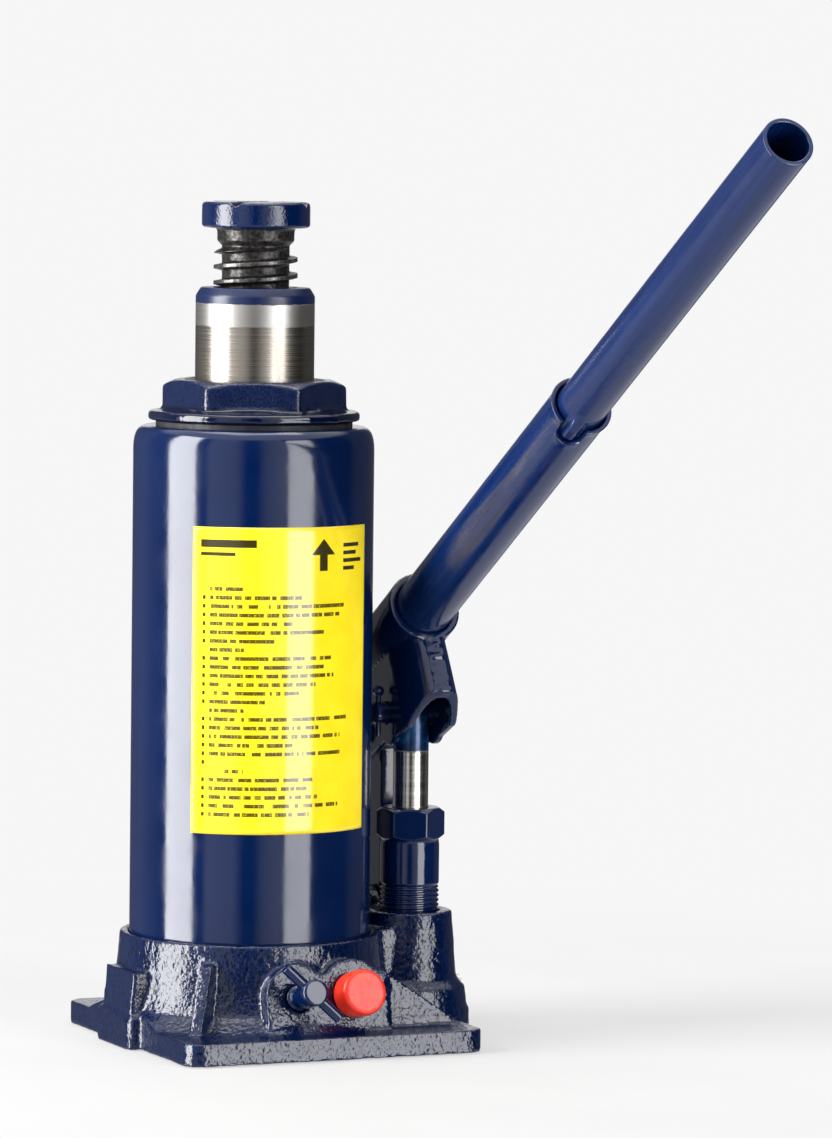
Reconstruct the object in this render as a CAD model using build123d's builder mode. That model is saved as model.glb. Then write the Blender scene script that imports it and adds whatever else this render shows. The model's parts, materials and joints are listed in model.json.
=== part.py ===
from build123d import *
from math import asin, cos, degrees, radians, sin, sqrt
import os

os.makedirs("parts", exist_ok=True)

# Hydraulic bottle jack. Origin: the ram's axis on the underside of the base.
# +Z is up, -Y is the front with the two valves and the handle, +X is the pump's side.

# Driving dimensions, in millimetres
TUBE_R = 38.0                    # oil reservoir tube, outside
TUBE_WALL = 2.5
CYL_BORE_R = 22.5                # main cylinder
CYL_R = 27.5
RAM_R = 18.75
SCREW_CREST_R = 13.35
SCREW_PITCH = 5.0
FIT = 0.05                       # radial clearance of a running fit
PLATE_T = 7.5
BOSS_TOP = 34.3                  # rim of the tube seat
CYL_FLOOR = 20.0                 # bottom of the main cylinder's socket
OIL_FLOOR = 22.0                 # bottom of the oil space
SHOULDER_Z = 193.7               # top of the reservoir tube
NUT_TOP = 208.5
RAM_TOP = 237.2                  # with the ram 23 mm out
RAM_FOOT = 45.2
SADDLE_Z = 255.7                 # underside of the saddle
SADDLE_TOP = 264.1
PUMP_X, PUMP_Y = 53.75, -3.52    # pump axis
PUMP_BOSS_TOP = 39.0
PLUNGER_R = 5.65
LOAD_PIN_Z = 102.0               # pin between plunger and handle socket
LINK_PIN_Y, LINK_PIN_Z = 18.0, 93.3
FOOT_PIN_Z = 37.0
HANDLE_RISE = 31.33              # degrees above level
HANDLE_HEIGHT = 130.73           # handle axis above the floor, at the pump axis
HANDLE_R = 9.3                   # lower handle tube
UPPER_R = 7.68                   # upper handle tube
VALVE_TILT = 15.0                # valves look up by this much
RELEASE_X, SAFETY_X = -2.0, 16.7
VALVE_Y, VALVE_Z = -46.0, 18.4   # where the valve axes meet the slanted face


def save(part, label):
    """Labels a finished piece and writes its STEP file."""
    part.label = label
    export_step(part, f"parts/{label}.step")


def ring(r_out, r_in, z_low, z_high):
    """A plain ring or tube on the ram's axis."""
    with BuildPart() as piece:
        with BuildSketch(Plane.XY.offset(z_low)):
            Circle(r_out)
            Circle(r_in, mode=Mode.SUBTRACT)
        extrude(amount=z_high - z_low)
    return piece.part


def screw_profile(r_crest, r_root, pitch, z_low, z_high):
    """Points down the outside of a thread drawn as rings, from z_low up to z_high."""
    turns = int((z_high - z_low) / pitch)
    points = []
    for turn in range(turns):
        z = z_low + turn * pitch
        points += [(r_root, z), (r_root, z + 0.3 * pitch), (r_crest, z + 0.5 * pitch),
                   (r_crest, z + 0.8 * pitch)]
    return points + [(r_root, z_low + turns * pitch), (r_root, z_high)]


# Planes and directions used by several pieces
tilt = radians(VALVE_TILT)
VALVE_OUT = (0, -cos(tilt), sin(tilt))
rise = radians(HANDLE_RISE)
HANDLE_DIR = (0, -cos(rise), sin(rise))
HANDLE_UP = (0, sin(rise), cos(rise))
HANDLE_DOWN = (0, -sin(rise), -cos(rise))
PUMP_AXIS_XZ = Plane((PUMP_X, PUMP_Y, 0), x_dir=(1, 0, 0), z_dir=(0, -1, 0))


def valve_plane(x, out=0.0):
    """Plane square to a valve's axis, a distance out of the slanted face."""
    origin = (x, VALVE_Y + out * VALVE_OUT[1], VALVE_Z + out * VALVE_OUT[2])
    return Plane(origin, x_dir=(1, 0, 0), z_dir=VALVE_OUT)


def handle_plane(along):
    """Plane square to the handle, a distance up from the pump axis."""
    origin = (PUMP_X, PUMP_Y + along * HANDLE_DIR[1], HANDLE_HEIGHT + along * HANDLE_DIR[2])
    return Plane(origin, x_dir=(1, 0, 0), z_dir=HANDLE_DIR)


def side_plane(x):
    """Plane facing +X, drawn in (Y, Z)."""
    return Plane((x, 0, 0), x_dir=(0, 1, 0), z_dir=(1, 0, 0))


# ---- Base casting: foot plate, tube seat, pump boss, valve bosses, ribs and link lug
PLATE_X = (-43.4, 57.0)
PLATE_Y = (-57.8, 49.6)
SIDE_LUG_X = -47.2
PUMP_LOBE_R = 19.8
LINK_EAR_R = 7.5
LINK_LUG_HALF = 8.0
LINK_T = 6.0
PIN_R = 3.5
VALVE_BORE_R = 4.05
VALVE_BORE_DEPTH = 22.0
plate_mid = ((PLATE_X[0] + PLATE_X[1]) / 2, (PLATE_Y[0] + PLATE_Y[1]) / 2)

with BuildSketch() as base_plan:
    with Locations(plate_mid):
        RectangleRounded(PLATE_X[1] - PLATE_X[0], PLATE_Y[1] - PLATE_Y[0], 6)
    with Locations((PUMP_X, PUMP_Y)):
        Circle(PUMP_LOBE_R)
    with Locations((PUMP_X, LINK_PIN_Y)):
        RectangleRounded(2 * LINK_LUG_HALF, 2 * LINK_EAR_R + 2, 2)
    with Locations((SIDE_LUG_X / 2, -2)):
        RectangleRounded(-SIDE_LUG_X, 30, 3)

with BuildPart() as base_casting:
    add(base_plan.sketch)
    extrude(amount=PLATE_T)
    # Tube seat: a drafted round boss that flares into the plate
    with BuildSketch(Plane.XZ):
        with BuildLine():
            Polyline((0, 0), (52, 0), (52, PLATE_T), (45, 12), (42.3, 20), (41.1, BOSS_TOP), (0, BOSS_TOP))
            Line((0, BOSS_TOP), (0, 0))
        make_face()
    revolve(axis=Axis.Z)
    # Pump boss with a stepped foot, and the web that ties it to the tube seat
    with BuildSketch(PUMP_AXIS_XZ):
        Polygon((0, 0), (PUMP_LOBE_R, 0), (18.3, 14.5), (15.4, 17.5), (13.8, PUMP_BOSS_TOP),
                (0, PUMP_BOSS_TOP), align=None)
    revolve(axis=Axis((PUMP_X, PUMP_Y, 0), (0, 0, 1)))
    with Locations((PUMP_X - 11, PUMP_Y, 0)):
        Box(20, 22, BOSS_TOP, align=(Align.CENTER, Align.CENTER, Align.MIN))
    # Lug behind the pump for the foot of the link
    with BuildSketch(side_plane(PUMP_X - LINK_LUG_HALF)):
        with Locations((LINK_PIN_Y, FOOT_PIN_Z)):
            Circle(LINK_EAR_R)
        with Locations((LINK_PIN_Y, FOOT_PIN_Z / 2)):
            Rectangle(2 * LINK_EAR_R, FOOT_PIN_Z)
    extrude(amount=2 * LINK_LUG_HALF)
    # Valve bosses: two arches that share a slanted face
    for x, r in ((RELEASE_X, 11.0), (SAFETY_X, 11.8)):
        with BuildSketch(valve_plane(x)):
            Circle(r)
            with Locations((0, -12)):
                Rectangle(2 * r, 24)
        extrude(amount=-14)
    # Diagonal rib from the right valve boss down to the front corner
    with BuildSketch(Plane.XZ.offset(39.5)):
        Polygon((16, 0), (54, 0), (54, PLATE_T + 0.5), (28, 25.5), (16, 25.5), align=None)
    extrude(amount=4.5)
    # Radial rib at the front left corner
    RIB_DIR = (-0.64, -0.768, 0)
    with BuildSketch(Plane((0, 0, 0), x_dir=RIB_DIR, z_dir=(-0.768, 0.64, 0))):
        Polygon((34, 0), (57, 0), (55.5, PLATE_T), (45.5, 27.5), (42, 29), (34, 29), align=None)
    extrude(amount=2.3, both=True)
    # Machined lug on the left side
    with BuildSketch(Plane.XZ.offset(-9)):
        Polygon((0, 0), (SIDE_LUG_X, 0), (SIDE_LUG_X + 2.4, 24), (0, 24), align=None)
    extrude(amount=24)
    # Trim everything to the plan outline
    add(base_plan.sketch)
    extrude(amount=60, mode=Mode.INTERSECT)
    # Seats for the reservoir tube and the main cylinder
    with Locations((0, 0, BOSS_TOP)):
        Hole(TUBE_R, depth=BOSS_TOP - OIL_FLOOR)
        Hole(CYL_R, depth=BOSS_TOP - CYL_FLOOR)
    # Pump bore, the chamber under it, and the oil passage to the main cylinder
    with Locations((PUMP_X, PUMP_Y, PUMP_BOSS_TOP)):
        Hole(9.4, depth=PUMP_BOSS_TOP - 22)
        Hole(4.2, depth=PUMP_BOSS_TOP - 12)
    PASSAGE_Z, PASSAGE_PLUG_R = 14.0, 3.0
    with BuildSketch(Plane((10, PUMP_Y, PASSAGE_Z), x_dir=(0, 1, 0), z_dir=(1, 0, 0))):
        Circle(1.8)
    extrude(amount=70, mode=Mode.SUBTRACT)
    with Locations((12, PUMP_Y, CYL_FLOOR)):
        Hole(1.8, depth=CYL_FLOOR - PASSAGE_Z)
    PLUG_PLANE = Plane((PUMP_X + PUMP_LOBE_R - 7, PUMP_Y, PASSAGE_Z), x_dir=(0, 1, 0), z_dir=(1, 0, 0))
    with BuildSketch(PLUG_PLANE):
        Circle(PASSAGE_PLUG_R)
    extrude(amount=10, mode=Mode.SUBTRACT)
    # Valve bores, with a wider mouth for the safety valve's cap
    for x in (RELEASE_X, SAFETY_X):
        with BuildSketch(valve_plane(x)):
            Circle(VALVE_BORE_R)
        extrude(amount=-VALVE_BORE_DEPTH, mode=Mode.SUBTRACT)
    with BuildSketch(valve_plane(SAFETY_X)):
        Circle(5.6)
    extrude(amount=-6, mode=Mode.SUBTRACT)
    # Slot and cross hole of the link lug
    with Locations((PUMP_X, LINK_PIN_Y, FOOT_PIN_Z + LINK_EAR_R)):
        Box(LINK_T + 0.6, 2 * LINK_EAR_R + 6, 2 * (2 * LINK_EAR_R + 1), mode=Mode.SUBTRACT)
    with BuildSketch(side_plane(PUMP_X - 20)):
        with Locations((LINK_PIN_Y, FOOT_PIN_Z)):
            Circle(PIN_R)
    extrude(amount=40, mode=Mode.SUBTRACT)
save(base_casting.part, "base_casting")

# ---- Oil side: gaskets, reservoir tube, main cylinder
GASKET_T = 1.2
TUBE_FOOT = OIL_FLOOR + GASKET_T
CYL_FOOT = CYL_FLOOR + GASKET_T
CYL_TOP = 190.0
PLUG_Z = 168.0
PLUG_R = 4.0
save(ring(TUBE_R - 0.2, TUBE_R - TUBE_WALL - 1.5, OIL_FLOOR, TUBE_FOOT), "reservoir_gasket")
save(ring(CYL_R - 0.2, CYL_BORE_R, CYL_FLOOR, CYL_FOOT), "cylinder_gasket")

with BuildPart() as reservoir_tube:
    # Straight tube with its mouth rolled in under the top nut
    with BuildSketch(Plane.XZ):
        with BuildLine():
            Line((TUBE_R, TUBE_FOOT), (TUBE_R, SHOULDER_Z - 7.5))
            RadiusArc((TUBE_R, SHOULDER_Z - 7.5), (TUBE_R - 6, SHOULDER_Z), -7.2)
            Line((TUBE_R - 6, SHOULDER_Z), (CYL_R + 2, SHOULDER_Z))
            Line((CYL_R + 2, SHOULDER_Z), (CYL_R + 2, SHOULDER_Z - TUBE_WALL))
            Line((CYL_R + 2, SHOULDER_Z - TUBE_WALL), (TUBE_R - 6.5, SHOULDER_Z - TUBE_WALL))
            RadiusArc((TUBE_R - 6.5, SHOULDER_Z - TUBE_WALL), (TUBE_R - TUBE_WALL, SHOULDER_Z - 8), 5.6)
            Line((TUBE_R - TUBE_WALL, SHOULDER_Z - 8), (TUBE_R - TUBE_WALL, TUBE_FOOT))
            Line((TUBE_R - TUBE_WALL, TUBE_FOOT), (TUBE_R, TUBE_FOOT))
        make_face()
    revolve(axis=Axis.Z)
    with BuildSketch(Plane((0, 0, PLUG_Z), x_dir=(1, 0, 0), z_dir=(0, 1, 0))):
        Circle(PLUG_R)
    extrude(amount=TUBE_R + 5, mode=Mode.SUBTRACT)
save(reservoir_tube.part, "reservoir_tube")

save(ring(CYL_R, CYL_BORE_R, CYL_FOOT, CYL_TOP), "inner_cylinder")

with BuildPart() as oil_plug:
    # Rubber filler plug at the back, pushed into its hole in the reservoir tube
    with BuildSketch(Plane((0, 0, PLUG_Z), x_dir=(1, 0, 0), z_dir=(0, 1, 0)).offset(TUBE_R - 4.5)):
        Circle(PLUG_R - FIT)
    extrude(amount=6.0)
    with BuildSketch(Plane((0, 0, PLUG_Z), x_dir=(1, 0, 0), z_dir=(0, 1, 0)).offset(TUBE_R + 0.1)):
        Circle(6.0)
    extrude(amount=2.4)
    fillet(oil_plug.edges().group_by(Axis.Y)[-1], 0.8)
save(oil_plug.part, "oil_filler_plug")

# ---- Top nut with its seal ring and wiper
HEX_FLATS = 51.0
NUT_FLANGE = (195.1, 198.7)
HEX_FOOT = 199.5
save(ring(TUBE_R - 7, CYL_R + 2, SHOULDER_Z, NUT_FLANGE[0]), "top_seal_ring")

with BuildPart() as top_nut:
    with BuildSketch(Plane.XY.offset(NUT_FLANGE[0])):
        Circle(33.6)
    extrude(amount=NUT_FLANGE[1] - NUT_FLANGE[0])
    fillet(top_nut.edges().group_by(Axis.Z)[-1], 1.2)
    with BuildSketch(Plane.XY.offset(NUT_FLANGE[1])):
        Circle(27.5)
    extrude(amount=HEX_FOOT - NUT_FLANGE[1])
    with BuildSketch(Plane.XY.offset(HEX_FOOT)):
        RegularPolygon(HEX_FLATS / 2, 6, major_radius=False, rotation=36)
    extrude(amount=NUT_TOP - HEX_FOOT)
    # Corners of the hexagon turned off in a cone
    with BuildSketch(Plane.XZ):
        Polygon((0, 150), (40, 150), (40, 201.5), (24.5, NUT_TOP), (0, NUT_TOP), align=None)
    revolve(axis=Axis.Z, mode=Mode.INTERSECT)
    # Threaded skirt that clamps the cylinder
    with BuildSketch(Plane.XY.offset(CYL_TOP)):
        Circle(CYL_R)
    extrude(amount=NUT_FLANGE[0] - CYL_TOP)
    with Locations((0, 0, NUT_TOP)):
        Hole(RAM_R + FIT)
        Hole(21.5, depth=3.4)
save(top_nut.part, "top_nut")
save(ring(21.4, RAM_R + FIT, NUT_TOP - 3.4, NUT_TOP - 0.4), "ram_wiper")

# ---- Ram with its piston head, cup seal and snap ring
PISTON_R = CYL_BORE_R - 2 * FIT
NECK_R = 14.0
TAPPED_R = SCREW_CREST_R + FIT
RELIEF_R = 14.9
TAPPED_FOOT = 216.0
BORE_FOOT = 122.0
CUP_FOOT = RAM_FOOT + 2.3
PISTON_FOOT = RAM_FOOT + 7.0
PISTON_T = 10.5

with BuildPart() as ram:
    with BuildSketch(Plane.XZ):
        Polygon((0, RAM_FOOT), (NECK_R, RAM_FOOT), (NECK_R, PISTON_FOOT), (PISTON_R, PISTON_FOOT),
                (PISTON_R, PISTON_FOOT + PISTON_T - 0.5), (RAM_R, PISTON_FOOT + PISTON_T),
                (RAM_R, RAM_TOP - 2.6),
                (RAM_R - 2.6, RAM_TOP), (0, RAM_TOP), align=None)
    revolve(axis=Axis.Z)
    # Tapped mouth for the extension screw, with a wider relief bore below it
    with Locations((0, 0, RAM_TOP)):
        Hole(TAPPED_R, depth=RAM_TOP - BORE_FOOT)
    with BuildSketch(Plane.XY.offset(BORE_FOOT)):
        Circle(RELIEF_R)
    extrude(amount=TAPPED_FOOT - BORE_FOOT, mode=Mode.SUBTRACT)
    # Groove for the piston's snap ring
    with BuildSketch(Plane.XY.offset(RAM_FOOT + 0.4)):
        Circle(NECK_R)
        Circle(NECK_R - 0.8, mode=Mode.SUBTRACT)
    extrude(amount=1.0, mode=Mode.SUBTRACT)
save(ram.part, "ram")

save(ring(CYL_BORE_R - FIT, NECK_R, CUP_FOOT, PISTON_FOOT), "piston_cup")
save(ring(20.0, NECK_R, RAM_FOOT + 1.4, CUP_FOOT), "cup_washer")
save(ring(16.0, NECK_R - 0.8, RAM_FOOT + 0.4, RAM_FOOT + 1.4), "piston_snap_ring")

# ---- Extension screw, forged in one piece with its saddle, and its stop ring
SCREW_ROOT_R = 10.75
SCREW_FOOT = 150.0
SHANK_R = 12.25                  # plain neck under the saddle
NECK_FOOT = 251.0
STOP_GROOVE_Z = SCREW_FOOT + 2.0
SADDLE_R = 17.1

with BuildPart() as extension_screw:
    with BuildSketch(Plane.XZ):
        with BuildLine():
            outline = [(0, SCREW_FOOT), (10.5, SCREW_FOOT), (12.2, SCREW_FOOT + 1), (12.2, STOP_GROOVE_Z),
                       (11.2, STOP_GROOVE_Z), (11.2, STOP_GROOVE_Z + 1.6), (12.2, STOP_GROOVE_Z + 1.6)]
            outline += screw_profile(SCREW_CREST_R, SCREW_ROOT_R, SCREW_PITCH,
                                     SCREW_FOOT + 4.5, NECK_FOOT - 1)
            outline += [(SHANK_R, NECK_FOOT), (SHANK_R, SADDLE_Z), (SADDLE_R - 0.6, SADDLE_Z),
                        (SADDLE_R, SADDLE_Z + 0.6), (SADDLE_R, SADDLE_TOP - 1.6),
                        (SADDLE_R - 0.5, SADDLE_TOP - 0.5), (SADDLE_R - 1.6, SADDLE_TOP), (0, SADDLE_TOP)]
            Polyline(*outline, close=True)
        make_face()
    revolve(axis=Axis.Z)
    # Crossed grooves that keep the load from slipping
    with Locations((0, 0, SADDLE_TOP)):
        with PolarLocations(0, 2, angular_range=180):
            Box(2 * SADDLE_R + 2, 2.4, 1.8, mode=Mode.SUBTRACT)
save(extension_screw.part, "extension_screw")

with BuildPart() as screw_stop_ring:
    # Open wire ring that catches under the tapped mouth
    with BuildSketch(Plane.XY.offset(STOP_GROOVE_Z + 0.2)):
        Circle(14.6)
        Circle(11.3, mode=Mode.SUBTRACT)
        with Locations((13, 0)):
            Rectangle(6, 4, mode=Mode.SUBTRACT)
    extrude(amount=1.2)
save(screw_stop_ring.part, "screw_stop_ring")

# ---- Pump: cylinder with its gasket, plunger with its seal
PUMP_FOOT = 23.0
PUMP_BODY_R = 9.4
HEX_Z = (61.5, 71.5)
PLUNGER_FOOT = 48.0
PLUNGER_TOP = 108.0
PUMP_CHAMBER_FOOT = 27.5
SEAL_Z = (64.0, 67.5)

with BuildPart() as pump_cylinder:
    with BuildSketch(PUMP_AXIS_XZ):
        with BuildLine():
            outline = [(0, PUMP_FOOT), (PUMP_BODY_R - FIT, PUMP_FOOT), (PUMP_BODY_R - FIT, PUMP_BOSS_TOP)]
            outline += screw_profile(PUMP_BODY_R, PUMP_BODY_R - 0.5, 1.5, PUMP_BOSS_TOP, 46.8)
            outline += [(PUMP_BODY_R, 47), (PUMP_BODY_R, 59.6), (PUMP_BODY_R - 0.4, HEX_Z[0]),
                        (0, HEX_Z[0])]
            Polyline(*outline, close=True)
        make_face()
    revolve(axis=Axis((PUMP_X, PUMP_Y, 0), (0, 0, 1)))
    with BuildSketch(Plane((PUMP_X, PUMP_Y, HEX_Z[0]))):
        RegularPolygon(9.5, 6, major_radius=False, rotation=36)
    extrude(amount=HEX_Z[1] - HEX_Z[0])
    chamfer(pump_cylinder.edges().group_by(Axis.Z)[-1], 0.8)
    with Locations((PUMP_X, PUMP_Y, HEX_Z[1])):
        Hole(PLUNGER_R + FIT, depth=HEX_Z[1] - PUMP_CHAMBER_FOOT)
        Hole(2.0)
    with BuildSketch(Plane((PUMP_X, PUMP_Y, SEAL_Z[0]))):
        Circle(7.6)
    extrude(amount=SEAL_Z[1] - SEAL_Z[0], mode=Mode.SUBTRACT)
save(pump_cylinder.part, "pump_cylinder")

with BuildPart() as pump_gasket:
    with BuildSketch(Plane((PUMP_X, PUMP_Y, 22))):
        Circle(9.2)
        Circle(4.4, mode=Mode.SUBTRACT)
    extrude(amount=PUMP_FOOT - 22)
save(pump_gasket.part, "pump_gasket")

with BuildPart() as pump_seal:
    with BuildSketch(Plane((PUMP_X, PUMP_Y, SEAL_Z[0]))):
        Circle(7.6)
        Circle(PLUNGER_R + FIT, mode=Mode.SUBTRACT)
    extrude(amount=SEAL_Z[1] - SEAL_Z[0])
save(pump_seal.part, "pump_seal")

with BuildPart() as pump_plunger:
    with BuildSketch(Plane((PUMP_X, PUMP_Y, PLUNGER_FOOT))):
        Circle(PLUNGER_R)
    extrude(amount=PLUNGER_TOP - PLUNGER_FOOT)
    chamfer(pump_plunger.edges().group_by(Axis.Z)[-1], 1.2)
    with BuildSketch(side_plane(PUMP_X - 10)):
        with Locations((PUMP_Y, LOAD_PIN_Z)):
            Circle(PIN_R + FIT)
    extrude(amount=20, mode=Mode.SUBTRACT)
save(pump_plunger.part, "pump_plunger")

# ---- Valve balls under the pump and the plug of the drilled oil passage
with BuildPart() as suction_ball:
    with Locations((PUMP_X, PUMP_Y, 15.5)):
        Sphere(3.2)
save(suction_ball.part, "suction_ball")

with BuildPart() as delivery_ball:
    with Locations((30, PUMP_Y, PASSAGE_Z)):
        Sphere(1.6)
save(delivery_ball.part, "delivery_ball")

with BuildPart() as passage_plug:
    with BuildSketch(PLUG_PLANE):
        Circle(PASSAGE_PLUG_R)
    extrude(amount=5.0)
save(passage_plug.part, "passage_plug")

# ---- Release valve: screw with a knurled neck, cross pin and ball
RELEASE_HEAD = (6.0, 14.0)
CROSS_PIN_OUT = 11.0
CROSS_PIN_R = 1.75
CROSS_PIN_HALF = 11.75

with BuildPart() as release_valve:
    with BuildSketch(valve_plane(RELEASE_X)):
        Circle(VALVE_BORE_R - FIT)
    extrude(amount=-16)
    with BuildSketch(valve_plane(RELEASE_X)):
        Circle(3.0)
    extrude(amount=RELEASE_HEAD[0])
    with BuildSketch(valve_plane(RELEASE_X, RELEASE_HEAD[0])):
        Circle(4.2)
    extrude(amount=RELEASE_HEAD[1] - RELEASE_HEAD[0])
    chamfer(release_valve.edges().group_by(Axis.Y)[0], 0.7)
    pin_plane = valve_plane(RELEASE_X, CROSS_PIN_OUT)
    pin_line = Plane(pin_plane.origin, x_dir=VALVE_OUT, z_dir=pin_plane.x_dir - pin_plane.y_dir)
    with BuildSketch(pin_line):
        Circle(CROSS_PIN_R)
    extrude(amount=12, both=True, mode=Mode.SUBTRACT)
save(release_valve.part, "release_valve")

with BuildPart() as release_cross_pin:
    with BuildSketch(pin_line):
        Circle(CROSS_PIN_R)
    extrude(amount=CROSS_PIN_HALF, both=True)
    chamfer(release_cross_pin.edges().filter_by(GeomType.CIRCLE), 0.5)
save(release_cross_pin.part, "release_cross_pin")

with BuildPart() as release_ball:
    with Locations(valve_plane(RELEASE_X, -19).origin):
        Sphere(2.9)
save(release_ball.part, "release_ball")

# ---- Safety valve: ball, spring, adjusting screw and plastic cap
SPRING_OUT = (-16.9, -9.4)
SPRING_R = 2.9
SPRING_WIRE_R = 0.5
SPRING_TURNS = 5

with BuildPart() as safety_ball:
    with Locations(valve_plane(SAFETY_X, -20).origin):
        Sphere(1.9)
save(safety_ball.part, "safety_ball")

spring_pitch = (SPRING_OUT[1] - SPRING_OUT[0] - 2 * SPRING_WIRE_R) / SPRING_TURNS
spring_foot = valve_plane(SAFETY_X, SPRING_OUT[0] + SPRING_WIRE_R)
with BuildPart() as safety_spring:
    with BuildLine():
        coil = Helix(spring_pitch, spring_pitch * SPRING_TURNS, SPRING_R,
                     center=spring_foot.origin, direction=VALVE_OUT)
    with BuildSketch(Plane(coil @ 0, z_dir=coil % 0)):
        Circle(SPRING_WIRE_R)
    sweep()
save(safety_spring.part, "safety_spring")

with BuildPart() as safety_screw:
    with BuildSketch(valve_plane(SAFETY_X, SPRING_OUT[1])):
        Circle(VALVE_BORE_R)
    extrude(amount=3.2)
    with BuildSketch(valve_plane(SAFETY_X, SPRING_OUT[1] + 3.2)):
        Rectangle(9, 1.2)
    extrude(amount=-1.5, mode=Mode.SUBTRACT)
save(safety_screw.part, "safety_screw")

with BuildPart() as safety_cap:
    # Red plastic cap, pressed into the mouth of the valve bore
    with BuildSketch(valve_plane(SAFETY_X, 0.2)):
        Circle(7.25)
    extrude(amount=8.8)
    fillet(safety_cap.edges().group_by(Axis.Y)[0], 0.9)
    with BuildSketch(valve_plane(SAFETY_X, 0.2)):
        Circle(5.5)
    extrude(amount=-5.2)
save(safety_cap.part, "safety_valve_cap")

# ---- Handle socket: a sheet steel tube with two cheeks that meet in a rounded bow
SOCKET_BORE_R = HANDLE_R + 0.15
SOCKET_R = 11.9
SOCKET_U = (-36.0, 11.0)
CHEEK_OUT = 8.75
CHEEK_IN = 6.25
link_slack = 1.9                 # the link pin's hole is opened to let the linkage run


def cheek_outline():
    """Side view of the cheeks, in (Y, Z), from the bow round to the link pin."""
    mouth = handle_plane(SOCKET_U[1]).origin
    bow_top = (mouth.Y - 4 * HANDLE_UP[1], mouth.Z - 4 * HANDLE_UP[2])
    bow_foot = (mouth.Y - 30 * HANDLE_UP[1], mouth.Z - 30 * HANDLE_UP[2])
    rear = handle_plane(SOCKET_U[0]).origin
    return bow_top, bow_foot, (rear.Y, rear.Z)


bow_top, bow_foot, rear_top = cheek_outline()

with BuildPart() as handle_socket:
    with BuildSketch(side_plane(PUMP_X - CHEEK_OUT)):
        with BuildLine():
            Polyline(bow_top, bow_foot, (PUMP_Y - 15.5, LOAD_PIN_Z - 3.2), (PUMP_Y - 6.2, LOAD_PIN_Z - 7.6))
            RadiusArc((PUMP_Y - 6.2, LOAD_PIN_Z - 7.6), (PUMP_Y + 2.0, LOAD_PIN_Z - 9.6), -6)
            Polyline((PUMP_Y + 2.0, LOAD_PIN_Z - 9.6), (LINK_PIN_Y - 3, LINK_PIN_Z - 9.5))
            RadiusArc((LINK_PIN_Y - 3, LINK_PIN_Z - 9.5), (LINK_PIN_Y + 9.5, LINK_PIN_Z + 3), -9.9)
            Polyline((LINK_PIN_Y + 9.5, LINK_PIN_Z + 3), rear_top, bow_top)
        make_face()
    extrude(amount=2 * CHEEK_OUT)
    # The two cheeks close in a bow under the mouth
    with BuildSketch(Plane(handle_plane(0).origin, x_dir=(1, 0, 0), z_dir=HANDLE_DOWN)):
        with BuildLine():
            bow = SOCKET_U[1]
            Spline((-2.6, bow), (-7.2, bow - 7), (-CHEEK_OUT, bow - 16), tangents=((-1, -0.35), (0, -1)))
            Line((-CHEEK_OUT, bow - 16), (-CHEEK_OUT, -60))
            Line((-CHEEK_OUT, -60), (CHEEK_OUT, -60))
            Line((CHEEK_OUT, -60), (CHEEK_OUT, bow - 16))
            Spline((CHEEK_OUT, bow - 16), (7.2, bow - 7), (2.6, bow), tangents=((0, 1), (-1, 0.35)))
            Line((2.6, bow), (-2.6, bow))
        make_face()
    extrude(amount=60, both=True, mode=Mode.INTERSECT)
    # Space between the cheeks
    with BuildSketch(Plane(handle_plane(0).origin, x_dir=(1, 0, 0), z_dir=HANDLE_DOWN)):
        with BuildLine():
            Spline((-0.8, bow - 3), (-4.9, bow - 9), (-CHEEK_IN, bow - 17), tangents=((-1, -0.4), (0, -1)))
            Line((-CHEEK_IN, bow - 17), (-CHEEK_IN, -60))
            Line((-CHEEK_IN, -60), (CHEEK_IN, -60))
            Line((CHEEK_IN, -60), (CHEEK_IN, bow - 17))
            Spline((CHEEK_IN, bow - 17), (4.9, bow - 9), (0.8, bow - 3), tangents=((0, 1), (-1, 0.4)))
            Line((0.8, bow - 3), (-0.8, bow - 3))
        make_face()
    extrude(amount=60, both=True, mode=Mode.SUBTRACT)
    with BuildSketch(handle_plane(SOCKET_U[0])):
        Circle(SOCKET_R)
    extrude(amount=SOCKET_U[1] - SOCKET_U[0])
    with BuildSketch(handle_plane(SOCKET_U[0] + 3)):
        Circle(SOCKET_BORE_R)
    extrude(amount=SOCKET_U[1] - SOCKET_U[0], mode=Mode.SUBTRACT)
    with BuildSketch(side_plane(PUMP_X - 20)):
        with Locations((PUMP_Y, LOAD_PIN_Z)):
            Circle(PIN_R)
        with Locations((LINK_PIN_Y, LINK_PIN_Z)):
            Circle(PIN_R + link_slack)
    extrude(amount=40, mode=Mode.SUBTRACT)
save(handle_socket.part, "handle_socket")


def clevis_pin(name, y, z, reach, head_side):
    """Headed cross pin along X, with a hole for its cotter near the plain end."""
    with BuildPart() as pin:
        with BuildSketch(side_plane(PUMP_X)):
            with Locations((y, z)):
                Circle(PIN_R)
        extrude(amount=reach, both=True)
        with BuildSketch(side_plane(PUMP_X + head_side * (reach - 2.5))):
            with Locations((y, z)):
                Circle(PIN_R + 2)
        extrude(amount=head_side * 2.5)
        chamfer(pin.edges().filter_by(GeomType.CIRCLE).sort_by(Axis.X)[0 if head_side > 0 else -1], 0.6)
        with Locations((PUMP_X - head_side * (reach - 1.8), y, z)):
            Cylinder(0.9, 4 * PIN_R, mode=Mode.SUBTRACT)
    save(pin.part, name)


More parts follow.
